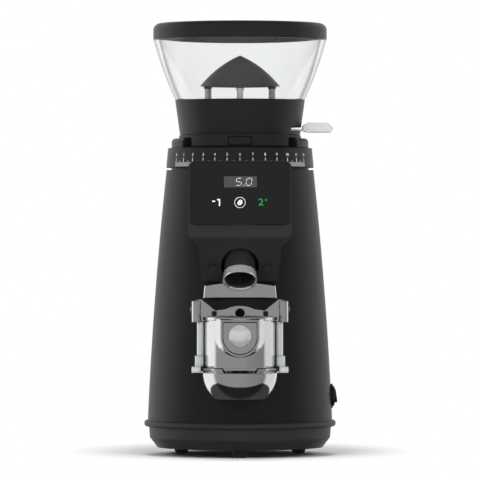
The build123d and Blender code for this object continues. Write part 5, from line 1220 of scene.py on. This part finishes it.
@dataclass
class Studio:
    """Pale floor, soft light and the photograph's camera.

    A span says between which parts of a unit direction one level of the room turns into the next.
    """

    camera_distance: float = 5.58
    camera_height: float = 0.271
    lens: float = 364.0
    sensor: float = 36.0
    view_end: float = 50.0
    shift: float = -0.044
    floor_size: float = 6.0
    floor_colour: str = "#f7f7f7"
    fade_back: float = 0.08
    fade_depth: float = 0.78
    fade_start: float = 0.125
    fade_end: float = 0.205
    wall_span: Span = (-0.16, 0.04)
    front_level: float = 0.31
    back_level: float = 1.0
    drop_span: Span = (-0.7, -0.2)
    front_drop: float = -0.72
    side_drop: float = -0.44
    drop_blur: float = 0.05
    ceiling_span: Span = (0.56, 0.66)
    dark_level: float = 0.06
    right_span: Span = (0.2, 0.9)
    right_level: float = 0.76
    rear_span: Span = (-0.2, 0.4)
    rear_sky: float = 0.18
    sky_span: Span = (-0.1, 1.0)
    horizon_level: float = 0.16
    sky_level: float = 0.6

    def camera(self) -> None:
        """Set the camera level in front of the grinder."""
        data = bpy.data.cameras.new("camera")
        data.lens = self.lens
        data.sensor_width = self.sensor
        data.shift_y = self.shift
        data.clip_end = self.view_end
        camera = bpy.data.objects.new("camera", data)
        camera.location = (0, -self.camera_distance, self.camera_height)
        camera.rotation_euler = (math.pi / 2, 0, 0)
        bpy.context.scene.collection.objects.link(camera)
        bpy.context.scene.camera = camera

    def floor(self) -> None:
        """Lay a pale floor that keeps the shadow and fades into the white behind it."""
        clear_selection()
        bpy.ops.mesh.primitive_plane_add(size=self.floor_size)
        floor = bpy.context.object
        floor.name = "floor"
        floor.visible_glossy = False
        material = bpy.data.materials.new("floor_pale")
        tree = bare_tree(material)
        place = add_node(tree, "ShaderNodeTexCoord").outputs["Object"]
        around = {"Location": (0, -self.fade_back * self.fade_depth, 0), "Scale": (1, self.fade_depth, 1)}
        moved = add_node(tree, "ShaderNodeMapping", around, {"Vector": place}).outputs["Vector"]
        distance = add_node(tree, "ShaderNodeVectorMath", links={0: moved}, operation="LENGTH")
        fade = {"From Min": self.fade_start, "From Max": self.fade_end}
        far = add_node(tree, "ShaderNodeMapRange", fade, {"Value": distance.outputs["Value"]})
        plain = add_node(tree, "ShaderNodeBsdfDiffuse", {"Color": linear(self.floor_colour)})
        white = add_node(tree, "ShaderNodeEmission", {"Strength": 1.0})
        path = add_node(tree, "ShaderNodeLightPath")
        both = {0: far.outputs["Result"], 1: path.outputs["Is Camera Ray"]}
        seen = add_node(tree, "ShaderNodeMath", links=both, operation="MULTIPLY")
        mix = add_node(tree, "ShaderNodeMixShader", links={
            0: seen.outputs["Value"], 1: plain.outputs["BSDF"], 2: white.outputs["Emission"],
        })
        add_node(tree, "ShaderNodeOutputMaterial", links={"Surface": mix.outputs["Shader"]})
        floor.data.materials.append(material)

    def room(self, tree: Tree, parts: Node) -> Socket:
        """Build the room that polished pieces show: white behind, grey in front, dark above and below.

        Args:
            tree: World's node tree.
            parts: Node that gives the direction's parts.

        Returns:
            The room's brightness.
        """
        rows = {
            "walls": ("Y", self.wall_span, (self.front_level, self.back_level)),
            "right": ("X", self.right_span, (1.0, self.right_level)),
            "ceiling": ("Z", self.ceiling_span, (1.0, self.dark_level)),
            "low_edge": ("Y", self.drop_span, (self.front_drop, self.side_drop)),
        }
        levels = {}
        for name, (part, (start, end), (first, last)) in rows.items():
            span = {"From Min": start, "From Max": end, "To Min": first, "To Max": last}
            step = add_node(tree, "ShaderNodeMapRange", span, {"Value": parts.outputs[part]})
            levels[name] = step.outputs["Result"]
        edge = {0: parts.outputs["Z"], 1: levels["low_edge"]}
        above_edge = add_node(tree, "ShaderNodeMath", links=edge, operation="SUBTRACT").outputs["Value"]
        span = {"From Min": 0.0, "From Max": self.drop_blur, "To Min": self.dark_level, "To Max": 1.0}
        below = add_node(tree, "ShaderNodeMapRange", span, {"Value": above_edge}).outputs["Result"]
        room = levels["walls"]
        for level in (levels["right"], below, levels["ceiling"]):
            product = add_node(tree, "ShaderNodeMath", links={0: room, 1: level}, operation="MULTIPLY")
            room = product.outputs["Value"]
        return room

    def world(self) -> None:
        """Light the grinder from the sky and show polished pieces the room."""
        world = bpy.data.worlds.new("studio")
        tree = bare_tree(world)
        direction = add_node(tree, "ShaderNodeTexCoord").outputs["Generated"]
        parts = add_node(tree, "ShaderNodeSeparateXYZ", links={"Vector": direction})
        levels = []
        for part, (start, end), (first, last) in (
            ("Z", self.sky_span, (self.horizon_level, self.sky_level)),
            ("Y", self.rear_span, (1.0, self.rear_sky)),
        ):
            span = {"From Min": start, "From Max": end, "To Min": first, "To Max": last}
            step = add_node(tree, "ShaderNodeMapRange", span, {"Value": parts.outputs[part]})
            levels.append(step.outputs["Result"])
        dome = add_node(tree, "ShaderNodeMath", links=dict(enumerate(levels)), operation="MULTIPLY")
        path = add_node(tree, "ShaderNodeLightPath")
        light = add_node(tree, "ShaderNodeBackground", links={"Strength": dome.outputs["Value"]})
        room = add_node(tree, "ShaderNodeBackground", links={"Strength": self.room(tree, parts)})
        white = add_node(tree, "ShaderNodeBackground", {"Strength": 1.0})
        for shade in (light, room, white):
            shade.inputs["Color"].default_value = WHITE
        lit = add_node(tree, "ShaderNodeMixShader", links={
            0: path.outputs["Is Glossy Ray"], 1: light.outputs["Background"], 2: room.outputs["Background"],
        })
        clear = {0: path.outputs["Is Camera Ray"], 1: path.outputs["Is Transmission Ray"]}
        through = add_node(tree, "ShaderNodeMath", links=clear, operation="MAXIMUM")
        mix = add_node(tree, "ShaderNodeMixShader", links={
            0: through.outputs["Value"], 1: lit.outputs["Shader"], 2: white.outputs["Background"],
        })
        add_node(tree, "ShaderNodeOutputWorld", links={"Surface": mix.outputs["Shader"]})
        bpy.context.scene.world = world

    def build(self) -> None:
        """Set up the room, its light and the camera."""
        self.camera()
        self.floor()
        self.world()
        for lamp in LAMPS:
            lamp.hang()
        bpy.context.scene.view_settings.view_transform = "Standard"


def dress_nodes() -> None:
    """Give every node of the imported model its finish."""
    for finish, names in NODE_FINISHES.items():
        for name in names:
            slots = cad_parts[name].data.materials
            slots.clear()
            slots.append(finish.make())
            LOG.info("node %s is %s", name, finish.name)
    left = set(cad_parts) - {n for names in NODE_FINISHES.values() for n in names}
    if left:
        raise ValueError(f"nodes with no finish: {sorted(left)}")


def main() -> None:
    """Build the looks in order."""
    logging.basicConfig(level=logging.INFO)
    Studio().build()
    dress_nodes()
    DialPrint().build()
    PanelMarks().build()
    RockerMarks().build()


if __name__ == "__main__":
    main()
